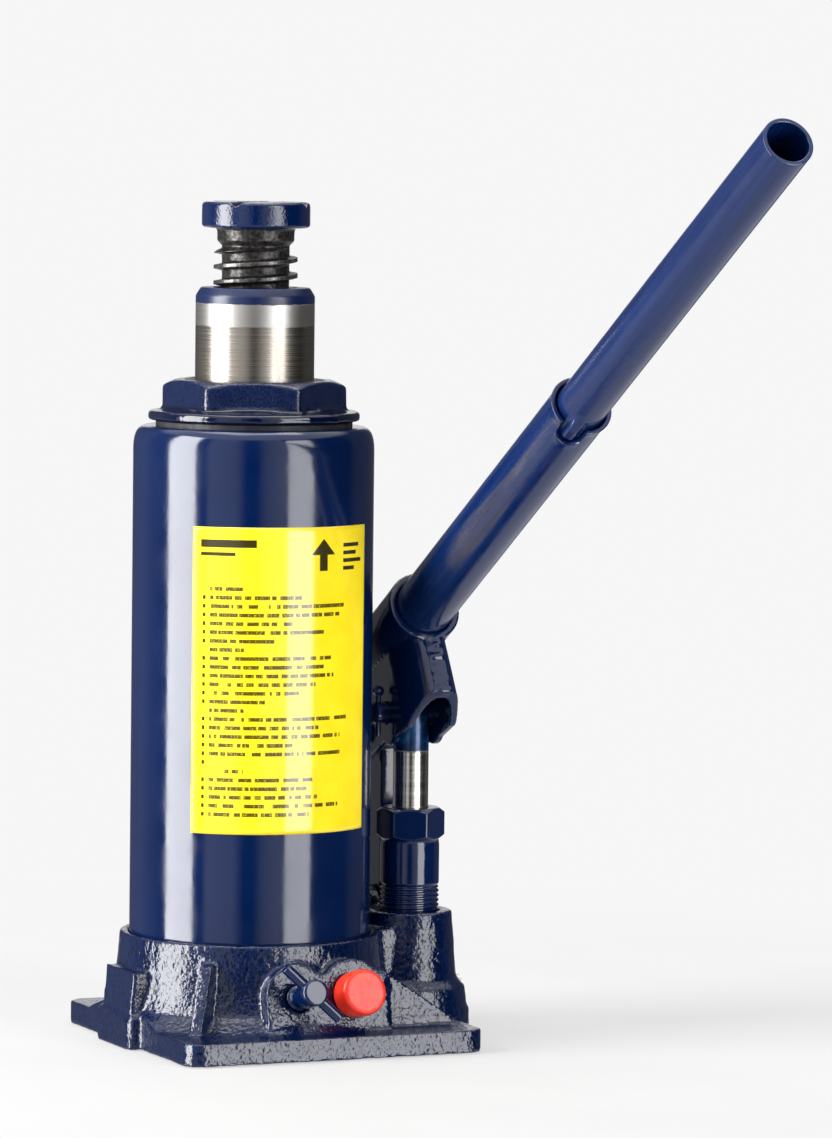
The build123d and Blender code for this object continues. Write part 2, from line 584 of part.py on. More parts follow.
def cotter(name, y, z, reach, head_side):
    """Split pin: two straight legs and an eye, through the clevis pin's hole."""
    x = PUMP_X - head_side * (reach - 1.8)
    with BuildPart() as split_pin:
        with Locations((x, y, z - 0.8)):
            Cylinder(0.85, 13)
        with BuildSketch(Plane((x, y, z + 6.9), z_dir=(0, 1, 0))):
            Circle(1.7)
            Circle(0.6, mode=Mode.SUBTRACT)
        extrude(amount=0.6, both=True)
    save(split_pin.part, name)


PIN_END = 4.6                    # how far a pin stands out of the outer face, for its cotter
LOAD_REACH = CHEEK_OUT + PIN_END
LINK_REACH = CHEEK_OUT + PIN_END
FOOT_REACH = LINK_LUG_HALF + PIN_END
clevis_pin("plunger_pin", PUMP_Y, LOAD_PIN_Z, LOAD_REACH, 1)
cotter("plunger_pin_cotter", PUMP_Y, LOAD_PIN_Z, LOAD_REACH, 1)
clevis_pin("link_upper_pin", LINK_PIN_Y, LINK_PIN_Z, LINK_REACH, 1)
cotter("link_upper_cotter", LINK_PIN_Y, LINK_PIN_Z, LINK_REACH, 1)
clevis_pin("link_lower_pin", LINK_PIN_Y, FOOT_PIN_Z, FOOT_REACH, 1)
cotter("link_lower_cotter", LINK_PIN_Y, FOOT_PIN_Z, FOOT_REACH, 1)

# ---- Fulcrum link behind the pump
with BuildPart() as fulcrum_link:
    with BuildSketch(side_plane(PUMP_X - LINK_T / 2)):
        with Locations((LINK_PIN_Y, (LINK_PIN_Z + FOOT_PIN_Z) / 2)):
            Rectangle(10, LINK_PIN_Z - FOOT_PIN_Z)
        with Locations((LINK_PIN_Y, LINK_PIN_Z), (LINK_PIN_Y, FOOT_PIN_Z)):
            Circle(6.8)
        with Locations((LINK_PIN_Y, LINK_PIN_Z)):
            Circle(PIN_R, mode=Mode.SUBTRACT)
        with Locations((LINK_PIN_Y, FOOT_PIN_Z)):
            Circle(PIN_R + FIT, mode=Mode.SUBTRACT)
    extrude(amount=LINK_T)
save(fulcrum_link.part, "fulcrum_link")

# ---- Two-piece handle: lower tube with a notched end, upper tube with a locking tongue
JOINT_U = 144.0
TIP_U = 298.6
UPPER_FOOT_U = 100.0
LOWER_BORE_R = 7.95
NOTCH_W = 8.0
NOTCH_DEPTH = 8.5
NOTCH_TURN = radians(28)         # the notch is turned from the underside towards -X
notch_out = (-sin(NOTCH_TURN), cos(NOTCH_TURN) * HANDLE_DOWN[1], cos(NOTCH_TURN) * HANDLE_DOWN[2])
notch_side = (cos(NOTCH_TURN), sin(NOTCH_TURN) * HANDLE_DOWN[1], sin(NOTCH_TURN) * HANDLE_DOWN[2])
notch_plane = Plane(handle_plane(JOINT_U).origin, x_dir=notch_side, z_dir=notch_out)

with BuildPart() as handle_lower_tube:
    with BuildSketch(handle_plane(SOCKET_U[0] + 3.5)):
        Circle(HANDLE_R)
        Circle(LOWER_BORE_R, mode=Mode.SUBTRACT)
    extrude(amount=JOINT_U - SOCKET_U[0] - 3.5)
    # U-shaped notch in the underside of the mouth
    with BuildSketch(notch_plane):
        with Locations((0, -NOTCH_DEPTH + NOTCH_W / 2)):
            Circle(NOTCH_W / 2)
        with Locations((0, -NOTCH_DEPTH / 2 + NOTCH_W / 4)):
            Rectangle(NOTCH_W, NOTCH_DEPTH - NOTCH_W / 2)
    extrude(amount=20, mode=Mode.SUBTRACT)
save(handle_lower_tube.part, "handle_lower_tube")

with BuildPart() as handle_upper_tube:
    with BuildSketch(handle_plane(UPPER_FOOT_U)):
        Circle(UPPER_R)
    extrude(amount=TIP_U - UPPER_FOOT_U)
    # Tongue swaged out of the wall, which sits in the notch
    with BuildSketch(notch_plane):
        with Locations((0, -NOTCH_DEPTH / 2 + 1.5)):
            RectangleRounded(NOTCH_W - 2.2, NOTCH_DEPTH - 1, 2)
    extrude(amount=HANDLE_R - 0.3)
    with BuildSketch(handle_plane(UPPER_FOOT_U)):
        Circle(UPPER_R - 1.3)
    extrude(amount=TIP_U - UPPER_FOOT_U, mode=Mode.SUBTRACT)
save(handle_upper_tube.part, "handle_upper_tube")

# ---- Yellow rating label on the front of the reservoir tube
LABEL_Z = (68.5, 164.0)
LABEL_ARC = (-51.6, 43.8)        # degrees from the front, towards the pump
LABEL_T = 0.12
label_half = (LABEL_ARC[1] - LABEL_ARC[0]) / 2
label_mid = (LABEL_ARC[1] + LABEL_ARC[0]) / 2
start = radians(label_mid - label_half - 90)
with BuildPart() as rating_label:
    with BuildSketch(Plane(((TUBE_R + LABEL_T / 2) * cos(start), (TUBE_R + LABEL_T / 2) * sin(start),
                            (LABEL_Z[0] + LABEL_Z[1]) / 2), x_dir=(cos(start), sin(start), 0),
                           z_dir=(-sin(start), cos(start), 0))):
        Rectangle(LABEL_T, LABEL_Z[1] - LABEL_Z[0])
    revolve(axis=Axis.Z, revolution_arc=2 * label_half)
save(rating_label.part, "rating_label")

# How far the handle swings over the plunger's stroke
arm_y = LINK_PIN_Y - PUMP_Y
arm_z = LOAD_PIN_Z - LINK_PIN_Z
arm = sqrt(arm_y**2 + arm_z**2)
STROKE_DOWN = 18.6
swing = degrees(asin(arm_z / arm) + asin((STROKE_DOWN - arm_z) / arm))
print(f"link arm {arm:.2f} mm, handle swing {swing:.2f} degrees over {STROKE_DOWN} mm")
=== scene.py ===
import json
import bmesh
import bpy
import numpy as np
from mathutils import Matrix, Vector


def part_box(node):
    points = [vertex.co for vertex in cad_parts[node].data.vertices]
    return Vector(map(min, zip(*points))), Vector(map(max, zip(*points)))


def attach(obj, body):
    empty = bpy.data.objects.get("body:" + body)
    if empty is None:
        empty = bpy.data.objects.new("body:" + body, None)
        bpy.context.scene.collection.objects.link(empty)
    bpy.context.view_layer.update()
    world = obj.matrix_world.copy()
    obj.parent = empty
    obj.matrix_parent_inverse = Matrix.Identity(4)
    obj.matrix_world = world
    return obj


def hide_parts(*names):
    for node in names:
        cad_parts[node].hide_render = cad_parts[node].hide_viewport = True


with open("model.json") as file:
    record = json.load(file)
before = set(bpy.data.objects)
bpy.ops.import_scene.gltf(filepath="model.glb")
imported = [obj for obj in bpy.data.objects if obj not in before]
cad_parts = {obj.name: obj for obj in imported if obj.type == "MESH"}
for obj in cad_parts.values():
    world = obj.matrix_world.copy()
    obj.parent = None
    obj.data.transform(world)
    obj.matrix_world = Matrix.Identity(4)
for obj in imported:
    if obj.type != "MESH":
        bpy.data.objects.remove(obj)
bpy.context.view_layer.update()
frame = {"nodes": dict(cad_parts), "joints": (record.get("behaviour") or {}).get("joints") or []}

# ---- Base casting
# A sand-cast iron foot that carries both cylinders, the valves and the link. Its enamel is glossy but lies
# over the grain of the sand; the tube's seat and the side lug are smoother, because they were machined.
mm = 0.001
scene = bpy.context.scene


def grain(points, cell, seed):
    """Smooth noise from -1 to 1: random values on a cubic lattice of that cell, blended between the eight
    corners round each point by the weight 3t^2 - 2t^3 along each axis."""
    table = np.random.default_rng(seed).uniform(-1, 1, (64, 64, 64))
    place = points / cell
    corner = np.floor(place).astype(int)
    t = place - corner
    t = t * t * (3 - 2 * t)
    value = np.zeros(len(points))
    for step in np.ndindex(2, 2, 2):
        x, y, z = ((corner + step) % 64).T
        value += np.prod(np.where(step, t, 1 - t), axis=1) * table[x, y, z]
    return value


def ease(value, start, end):
    """0 up to start and 1 from end, with the curve 3t^2 - 2t^3 between."""
    t = np.clip((value - start) / (end - start), 0, 1)
    return t * t * (3 - 2 * t)


def weld(mesh):
    """Merges points that share a place, so seams and poles close."""
    work = bmesh.new()
    work.from_mesh(mesh)
    bmesh.ops.remove_doubles(work, verts=work.verts, dist=0.002 * mm)
    work.to_mesh(mesh)
    work.free()


def take_modifiers(piece):
    """Keeps the shape that a piece's modifiers give, and drops the modifiers."""
    graph = bpy.context.evaluated_depsgraph_get()
    shaped = bpy.data.meshes.new_from_object(piece.evaluated_get(graph))
    piece.modifiers.clear()
    piece.data = shaped


def points_of(mesh):
    """The mesh's points and the outward directions there, one row each."""
    place = np.empty(len(mesh.vertices) * 3)
    mesh.vertices.foreach_get("co", place)
    outward = np.empty(len(mesh.vertices) * 3)
    mesh.vertex_normals.foreach_get("vector", outward)
    return place.reshape(-1, 3), outward.reshape(-1, 3)


def move_points(mesh, place):
    """Puts the mesh's points at these places."""
    mesh.vertices.foreach_set("co", place.ravel())
    mesh.update()


def cast_skin(node, name, voxel, rounds):
    """The CAD node's shape as one even skin of voxel-sized faces, with its corners eased by some rounds."""
    mesh = frame["nodes"][node].data.copy()
    weld(mesh)
    piece = bpy.data.objects.new(name, mesh)
    scene.collection.objects.link(piece)
    skin = piece.modifiers.new("skin", "REMESH")
    skin.mode = "VOXEL"
    skin.voxel_size = voxel
    soft = piece.modifiers.new("soft", "SMOOTH")
    soft.factor = 0.5
    soft.iterations = rounds
    take_modifiers(piece)
    piece.data.shade_smooth()
    return piece


def dress(piece, finish, body, slot, *nodes):
    """Gives a piece its finish and body, and hides the CAD nodes it stands for; slot is not used."""
    piece.data.materials.clear()
    piece.data.materials.append(finish)
    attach(piece, body)
    if nodes:
        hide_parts(*nodes)


def new_finish(name, **sockets):
    """A material with its shader's plain numbers set; an underscore in a name stands for a space."""
    finish = bpy.data.materials.new(name)
    finish.use_nodes = True
    shader = finish.node_tree.nodes["Principled BSDF"]
    for socket, value in sockets.items():
        shader.inputs[socket.replace("_", " ")].default_value = value
    return finish, finish.node_tree, shader


def put(tree, kind, inputs=(), **settings):
    """Adds a node; an input that is a socket is joined to it, and any other is its value."""
    node = tree.nodes.new("ShaderNode" + kind)
    for setting, value in settings.items():
        setattr(node, setting, value)
    for socket, value in dict(inputs).items():
        if isinstance(value, bpy.types.NodeSocket):
            tree.links.new(value, node.inputs[socket])
        else:
            node.inputs[socket].default_value = value
    return node


def spots(tree, size, detail=3.0, stretch=(1, 1, 1)):
    """Cloudy noise from 0 to 1 whose spots are about this size across, stretched along the axes."""
    place = put(tree, "TexCoord").outputs["Object"]
    place = put(tree, "Mapping", {"Vector": place, "Scale": [1 / s for s in stretch]}).outputs[0]
    return put(tree, "TexNoise", {"Vector": place, "Scale": 1 / size, "Detail": detail}).outputs["Fac"]


def ranged(tree, value, low, high, start=0.0, end=1.0):
    """Turns low..high into start..end, smoothly and without going past either."""
    return put(tree, "MapRange", {"Value": value, 1: low, 2: high, 3: start, 4: end},
               interpolation_type="SMOOTHSTEP").outputs[0]


def blend_colours(tree, share, first, second):
    """The first colour where share is 0 and the second where it is 1."""
    return put(tree, "Mix", {0: share, 6: first, 7: second}, data_type="RGBA").outputs[2]


def raised(tree, height, depth, under=None):
    """Surface normal for a relief of that depth, laid over another relief."""
    inputs = {"Height": height, "Distance": depth}
    if under:
        inputs["Normal"] = under
    return put(tree, "Bump", inputs).outputs[0]


def join(tree, shader, **sockets):
    """Joins nodes' outputs to the shader's sockets."""
    for socket, value in sockets.items():
        tree.links.new(value, shader.inputs[socket.replace("_", " ")])


NAVY = (0.0004, 0.0072, 0.043, 1)
DEEP_NAVY = (0.0002, 0.003, 0.020, 1)


def cast_enamel():
    """Glossy navy enamel, with its coat lying over the lumps and the fine grain of the sand mould."""
    finish, tree, shader = new_finish("cast_navy_enamel")
    lumps = spots(tree, 1.5 * mm, 2.0)
    sand = spots(tree, 0.6 * mm, 2.0)
    join(tree, shader, Base_Color=blend_colours(tree, ranged(tree, lumps, 0.3, 0.6), DEEP_NAVY, NAVY),
         Roughness=ranged(tree, spots(tree, 6 * mm), 0.3, 0.7, 0.08, 0.16),
         Normal=raised(tree, sand, 0.03 * mm, raised(tree, lumps, 0.34 * mm)))
    return finish


casting_voxel = 0.8 * mm
seat_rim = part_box("base_casting")[1].z
casting = cast_skin("base_casting", "foot_casting", casting_voxel, 3)
place, outward = points_of(casting.data)
rough = 1 - 0.8 * np.maximum(ease(place[:, 2], seat_rim - 6 * mm, seat_rim - 4.5 * mm),
                             ease(-place[:, 0], 44.2 * mm, 44.8 * mm))
depth = 0.09 * mm * (1 + grain(place, 2.2 * mm, 1)) + 0.12 * mm * (1 + grain(place, 6 * mm, 2))
move_points(casting.data, place - outward * (depth * rough)[:, None])
dress(casting, cast_enamel(), "jack_body", "cast_enamel", "base_casting")

# ---- Reservoir tube
# Drawn steel tube that holds the oil round the main cylinder, with its mouth rolled in under the top nut.
# It is sprayed with gloss navy enamel, which lies a little uneven, like orange peel.


def rounded(corners, cut, steps=4, closed=False):
    """Eases an outline's corners: (1-t)^2 A + 2t(1-t) C + t^2 B, where A and B lie on the two edges that
    meet in corner C, no further from it than cut. An open outline keeps its two ends."""
    corners = np.array(corners, float)
    cut = np.broadcast_to(cut, len(corners))[:, None]

    def along(other):
        way = other - corners
        length = np.linalg.norm(way, axis=1, keepdims=True)
        return corners + way / length * np.minimum(cut, 0.48 * length)

    start, end = along(np.roll(corners, 1, axis=0)), along(np.roll(corners, -1, axis=0))
    t = np.linspace(0, 1, steps + 1)[None, :, None]
    curve = (1 - t) ** 2 * start[:, None] + 2 * t * (1 - t) * corners[:, None] + t**2 * end[:, None]
    if not closed:
        curve[0], curve[-1] = corners[0], corners[-1]
    return curve.reshape(-1, 2)


def refined(outline, step):
    """The same outline with points added, so that none of its edges is longer than step."""
    length = np.r_[0, np.cumsum(np.linalg.norm(np.diff(outline, axis=0), axis=1))]
    at = np.unique(np.r_[length, np.arange(0, length[-1], step)])
    return np.stack([np.interp(at, length, side) for side in outline.T], axis=1)


def grid_faces(rows, cols, rows_close=False, cols_close=True):
    """Four-sided faces of a grid of points in row order; a closed way joins its last line to its first."""
    row, col = np.meshgrid(np.arange(rows - (not rows_close)), np.arange(cols - (not cols_close)),
                           indexing="ij")
    next_row, next_col = (row + 1) % rows, (col + 1) % cols
    corners = [row * cols + col, row * cols + next_col, next_row * cols + next_col, next_row * cols + col]
    return np.stack(corners, axis=-1).reshape(-1, 4)


def turn_round(outline, sides, foot, axis, across):
    """Points of a turned shape: foot + height * axis + radius * (cos a * across + sin a * (axis x across)).
    An outline has (radius, height) rows, and goes up the outside."""
    angle = np.linspace(0, 2 * np.pi, sides, endpoint=False)
    axis, across = np.array(axis, float), np.array(across, float)
    spoke = np.outer(np.cos(angle), across) + np.outer(np.sin(angle), np.cross(axis, across))
    outline = np.array(outline, float)
    return np.array(foot) + outline[:, 1, None, None] * axis + outline[:, 0, None, None] * spoke


def new_piece(name, points, faces):
    """A welded mesh object of these points and faces, at the origin."""
    mesh = bpy.data.meshes.new(name)
    mesh.vertices.add(points.size // 3)
    mesh.vertices.foreach_set("co", points.ravel())
    mesh.loops.add(faces.size)
    mesh.loops.foreach_set("vertex_index", faces.ravel())
    mesh.polygons.add(len(faces))
    mesh.polygons.foreach_set("loop_start", np.arange(0, faces.size, 4))
    mesh.update(calc_edges=True)
    weld(mesh)
    mesh.shade_smooth()
    piece = bpy.data.objects.new(name, mesh)
    scene.collection.objects.link(piece)
    return piece


UP, RIGHT = (0, 0, 1), (1, 0, 0)


def turned(name, outline, sides=96, closed=False, foot=(0, 0, 0), axis=UP, across=RIGHT):
    """A turned piece from its outline; a closed outline is the section of a tube's wall."""
    points = turn_round(outline, sides, foot, axis, across)
    return new_piece(name, points, grid_faces(len(outline), sides, rows_close=closed))


def gloss_enamel(name, peel=0.012 * mm):
    """Sprayed navy enamel: faint cloudy shade, orange peel, and dust that dulls the gloss."""
    finish, tree, shader = new_finish(name)
    cloud = ranged(tree, spots(tree, 30 * mm), 0.35, 0.65)
    shade = blend_colours(tree, cloud, NAVY, (0.0005, 0.0085, 0.049, 1))
    dust = ranged(tree, spots(tree, 0.35 * mm, 1.0), 0.68, 0.76)
    join(tree, shader, Base_Color=blend_colours(tree, dust, shade, (0.012, 0.022, 0.07, 1)),
         Roughness=ranged(tree, spots(tree, 12 * mm, 6.0), 0.3, 0.7, 0.10, 0.17),
         Normal=raised(tree, spots(tree, 2.2 * mm, 1.0), peel))
    return finish


tube_enamel = gloss_enamel("tube_navy_enamel")
tube_low, tube_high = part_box("reservoir_tube")
tube_r = tube_high.x
tube_wall = 2.5 * mm
mouth_r = 29.5 * mm
outline = rounded([(tube_r, tube_low.z), (tube_r, tube_high.z), (mouth_r, tube_high.z),
                   (mouth_r, tube_high.z - tube_wall), (tube_r - tube_wall, tube_high.z - tube_wall),
                   (tube_r - tube_wall, tube_low.z)],
                  np.array([0.3, 7.4, 0.3, 0.3, 5.2, 0.3]) * mm, steps=8, closed=True)
tube = turned("oil_tube", outline, sides=160, closed=True)
plug_low, plug_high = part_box("oil_filler_plug")
plug_z = (plug_low.z + plug_high.z) / 2
hole_r = 4 * mm
cutter = turned("hole_cutter", [(0, 30 * mm), (hole_r, 30 * mm), (hole_r, 45 * mm), (0, 45 * mm)], 48,
                foot=(0, 0, plug_z), axis=(0, 1, 0))
hole = tube.modifiers.new("filler_hole", "BOOLEAN")
hole.operation = "DIFFERENCE"
hole.object = cutter
take_modifiers(tube)
bpy.data.objects.remove(cutter)
tube.data.shade_smooth()
tube.data.set_sharp_from_angle(angle=0.7)
dress(tube, tube_enamel, "jack_body", "blue_enamel", "reservoir_tube")

# ---- Rating label
# Yellow plastic film stuck round the front of the tube, printed with plain black marks: a heading bar, a
# lifting arrow and four blocks of dashes, which stand for its text.
label_low, label_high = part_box("rating_label")
label_r = tube_r + 0.12 * mm
label_arc = np.radians((-51.6, 43.8))


def label_sheet(rows=65, cols=97):
    """The film: outer and inner skin on circles round the tube, closed along its four edges. Each point
    keeps its distance across and up the film, in millimetres, for the print."""
    angle = np.linspace(*label_arc, cols)
    height = np.linspace(label_low.z, label_high.z, rows)
    rise, turn = np.meshgrid(height, angle, indexing="ij")
    skins = []
    for radius in (label_r, tube_r + 0.005 * mm):
        skins.append(np.stack([radius * np.sin(turn), -radius * np.cos(turn), rise], axis=-1))
    outer = grid_faces(rows, cols, cols_close=False)
    inner = outer[:, ::-1] + rows * cols
    last_row, last_col = rows - 1, cols - 1
    rim = np.r_[np.arange(last_col), np.arange(last_row) * cols + last_col,
                last_row * cols + np.arange(last_col, 0, -1), np.arange(last_row, 0, -1) * cols]
    rim_next = np.roll(rim, -1)
    edge = np.stack([rim_next, rim, rim + rows * cols, rim_next + rows * cols], axis=-1)
    piece = new_piece("label_film", np.array(skins), np.concatenate([outer, inner, edge]))
    place, _ = points_of(piece.data)
    across = (np.arctan2(place[:, 0], -place[:, 1]) - label_arc[0]) * label_r
    print_place = np.stack([across, place[:, 2] - label_low.z, 0 * across], axis=1) / mm
    layer = piece.data.attributes.new("print_place", "FLOAT_VECTOR", "POINT")
    layer.data.foreach_set("vector", print_place.ravel())
    return piece


def calc(tree, way, *values):
    """One arithmetic node."""
    return put(tree, "Math", dict(enumerate(values)), operation=way).outputs[0]


def product(tree, first, *others):
    """All the values multiplied together."""
    for other in others:
        first = calc(tree, "MULTIPLY", first, other)
    return first


def between(tree, value, low, high):
    """1 where value lies from low to high, and 0 elsewhere."""
    return product(tree, calc(tree, "GREATER_THAN", value, low), calc(tree, "LESS_THAN", value, high))


def box_mark(tree, x, y, left, right, low, high):
    """1 inside a rectangle of the print."""
    return product(tree, between(tree, x, left, right), between(tree, y, low, high))


def letters(tree, x, y, detail):
    """Noise from 0 to 1 over the print, one spot to a unit, which breaks a line into words or strokes."""
    place = put(tree, "CombineXYZ", {0: x, 1: y}).outputs[0]
    return put(tree, "TexNoise", {"Vector": place, "Scale": 1.0, "Detail": detail}).outputs["Fac"]


def label_film():
    """Yellow film with its print, worked out from the distances across and up the film in millimetres."""
    finish, tree, shader = new_finish("printed_yellow_film", Roughness=0.16, Coat_Weight=0.3,
                                      Coat_Roughness=0.06)
    place = put(tree, "Attribute", attribute_name="print_place").outputs["Vector"]
    x, y, _ = put(tree, "SeparateXYZ", {0: place}).outputs
    line_pitch, block_foot, block_top = 2.7, 4.2, 77.7
    line = calc(tree, "DIVIDE", calc(tree, "SUBTRACT", block_top, y), line_pitch)
    number = calc(tree, "FLOOR", line)
    in_line = between(tree, calc(tree, "FRACT", line), 0.28, 0.72)
    in_block = calc(tree, "MODULO", number, 7.0)
    heading = calc(tree, "LESS_THAN", in_block, 0.5)
    chance = put(tree, "TexWhiteNoise", {"W": number}, noise_dimensions="1D").outputs["Value"]
    reach = calc(tree, "MULTIPLY_ADD", chance, 22.0, 32.0)
    last = calc(tree, "GREATER_THAN", in_block, 5.5)
    reach = calc(tree, "SUBTRACT", reach, product(tree, last, 26.0))
    reach = calc(tree, "SUBTRACT", reach, product(tree, heading, calc(tree, "SUBTRACT", reach, 17.0)))
    words = letters(tree, product(tree, x, 0.62), product(tree, number, 7.3), 0.0)
    strokes = letters(tree, product(tree, x, 2.4), product(tree, line, 3.0), 1.0)
    word = product(tree, calc(tree, "GREATER_THAN", words, 0.40),
                   ranged(tree, strokes, 0.25, 0.5, 0.45, 0.95))
    dashes = product(tree, in_line, between(tree, x, 6.0, reach),
                     between(tree, y, block_foot, block_top), word)
    dots = product(tree, in_line, box_mark(tree, x, y, 3.6, 4.5, block_foot, block_top),
                   calc(tree, "SUBTRACT", 1.0, heading))
    marks = [dashes, dots]
    for mark in ((2.8, 20.6, 89.2, 91.6), (2.8, 14.0, 86.6, 87.7),
                 (41.4, 44.4, 81.8, 87.0), (51.0, 59.0, 89.0, 90.2), (51.0, 57.5, 86.6, 87.8),
                 (51.0, 60.5, 84.2, 85.4), (51.0, 56.5, 81.8, 83.0)):
        marks.append(box_mark(tree, x, y, *mark))
    side = calc(tree, "ABSOLUTE", calc(tree, "SUBTRACT", x, 42.9))
    arrow = calc(tree, "LESS_THAN", side, calc(tree, "MULTIPLY", calc(tree, "SUBTRACT", 91.8, y), 0.9))
    marks.append(calc(tree, "MULTIPLY", arrow, between(tree, y, 86.8, 91.8)))
    ink = marks[0]
    for mark in marks[1:]:
        ink = calc(tree, "MAXIMUM", ink, mark)
    yellow = blend_colours(tree, ranged(tree, spots(tree, 9 * mm), 0.3, 0.7), (0.90, 0.68, 0.012, 1),
                           (0.96, 0.75, 0.020, 1))
    join(tree, shader, Base_Color=blend_colours(tree, ink, yellow, (0.035, 0.028, 0.006, 1)),
         Normal=raised(tree, spots(tree, 3 * mm, 1.0), 0.008 * mm))
    return finish


label = label_sheet()
dress(label, label_film(), "jack_body", "yellow_label", "rating_label")

# ---- Top nut
# Cast and painted with the body: a flange and a hexagon that screw down over the tube and clamp it. The
# sand grain shows on the flats, and the hexagon's corners are turned off in a cone.
nut = cast_skin("top_nut", "tube_nut", 0.6 * mm, 22)
place, outward = points_of(nut.data)
depth = 0.06 * mm * (1 + grain(place, 1.8 * mm, 3)) + 0.12 * mm * (1 + grain(place, 5 * mm, 4))
reach = np.hypot(place[:, 0], place[:, 1])
depth *= ease(reach, 20 * mm, 21.5 * mm)
move_points(nut.data, place - outward * depth[:, None])


hex_foot_z = 199.5 * mm


def height_of(tree):
    """Height above the floor."""
    return put(tree, "SeparateXYZ", {0: put(tree, "TexCoord").outputs["Object"]}).outputs[2]


def nut_enamel():
    """Enamel over fine sand grain, which shows on the hexagon and not on the turned flange."""
    finish, tree, shader = new_finish("nut_navy_enamel")
    sand = calc(tree, "MULTIPLY", spots(tree, 0.7 * mm, 2.0),
                ranged(tree, height_of(tree), hex_foot_z, hex_foot_z + 0.8 * mm, 0.12, 1.0))
    join(tree, shader, Base_Color=blend_colours(tree, ranged(tree, sand, 0.3, 0.6), DEEP_NAVY, NAVY),
         Roughness=ranged(tree, spots(tree, 5 * mm), 0.3, 0.7, 0.10, 0.18),
         Normal=raised(tree, sand, 0.16 * mm))
    return finish


dress(nut, nut_enamel(), "jack_body", "cast_enamel", "top_nut")

# ---- Ram
# Ground steel piston rod. Its top edge was sprayed with the body colour, which ends in a ragged line above
# a pale ground band; below that the bare steel keeps the fine rings of its turning.
ram_low, ram_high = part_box("ram")
ram_r = 18.75 * mm
bore_r = 13.4 * mm
relief_r = 14.9 * mm
head_r = ram_high.x
tail_r, tail_top = 14 * mm, ram_low.z + 7 * mm
thread_foot, hollow_foot = 216 * mm, 122 * mm
outline = rounded([(0, ram_low.z), (tail_r, ram_low.z), (tail_r, tail_top), (head_r, tail_top),
                   (head_r, tail_top + 10 * mm), (ram_r, tail_top + 10.4 * mm),
                   (ram_r, ram_high.z - 2.6 * mm), (ram_r - 1.6 * mm, ram_high.z), (bore_r, ram_high.z),
                   (bore_r, thread_foot), (relief_r, thread_foot), (relief_r, hollow_foot), (0, hollow_foot)],
                  np.array([0, 0.3, 0.1, 0.3, 0.3, 0.3, 0.6, 0.6, 0.5, 0.2, 0.2, 0.5, 0]) * mm)
ram = turned("piston_rod", outline, sides=128)
place, _ = points_of(ram.data)
dent = ease(place[:, 2], ram_high.z - 4 * mm, ram_high.z) * 0.06 * mm * (1 + grain(place, 3 * mm, 5))
move_points(ram.data, place * (1 - dent / ram_r)[:, None] + np.outer(dent / ram_r * place[:, 2], UP))


def ragged(tree, height, level, fray):
    """1 above a level whose line wanders by fray."""
    wander = calc(tree, "MULTIPLY_ADD", spots(tree, 2.5 * mm), 2 * fray, level - fray)
    return ranged(tree, calc(tree, "SUBTRACT", height, wander), -0.12 * mm, 0.12 * mm)


def turning_marks(tree, pitch):
    """Fine rings round an upright piece, from noise that changes only with height."""
    return spots(tree, pitch, 2.0, stretch=(400, 400, 1))


def rod_steel():
    """Ground steel with a painted top and a paler band under it."""
    finish, tree, shader = new_finish("rod_ground_steel")
    height = height_of(tree)
    paint = ragged(tree, height, ram_high.z - 5.0 * mm, 0.35 * mm)
    band = ragged(tree, height, ram_high.z - 12.0 * mm, 0.35 * mm)
    rings = turning_marks(tree, 0.35 * mm)
    steel = blend_colours(tree, ranged(tree, rings, 0.3, 0.7),
                          (0.25, 0.235, 0.21, 1), (0.30, 0.285, 0.255, 1))
    stain = ranged(tree, spots(tree, 14 * mm), 0.35, 0.7, 0.0, 0.5)
    steel = blend_colours(tree, stain, steel, (0.30, 0.25, 0.20, 1))
    steel = blend_colours(tree, product(tree, band, 0.6), steel, (0.42, 0.42, 0.41, 1))
    gloss = ranged(tree, rings, 0.3, 0.7, 0.24, 0.30)
    gloss = calc(tree, "MULTIPLY_ADD", band, 0.10, gloss)
    gloss = calc(tree, "MULTIPLY_ADD", paint, -0.06, gloss)
    join(tree, shader, Base_Color=blend_colours(tree, paint, steel, NAVY),
         Metallic=calc(tree, "SUBTRACT", 1.0, paint), Roughness=gloss,
         Normal=raised(tree, rings, 0.0006 * mm, raised(tree, paint, 0.06 * mm)))
    return finish


dress(ram, rod_steel(), "ram", "ground_steel", "ram")

# ---- Extension screw and saddle
# A forged bar with a rough right-hand trapezoid thread, black from the forge and worn a shade lighter on
# its crests. The saddle on its end is painted, eased all round, and crossed by two grooves that grip the load.
screw_low, screw_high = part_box("extension_screw")
pitch = 5 * mm
crest_r, root_r, neck_r = 13.35 * mm, 10.75 * mm, 12.25 * mm
thread_z = (156.3 * mm, 250.2 * mm)
saddle_foot = 255.7 * mm
saddle_r = screw_high.x
SIDES = 120


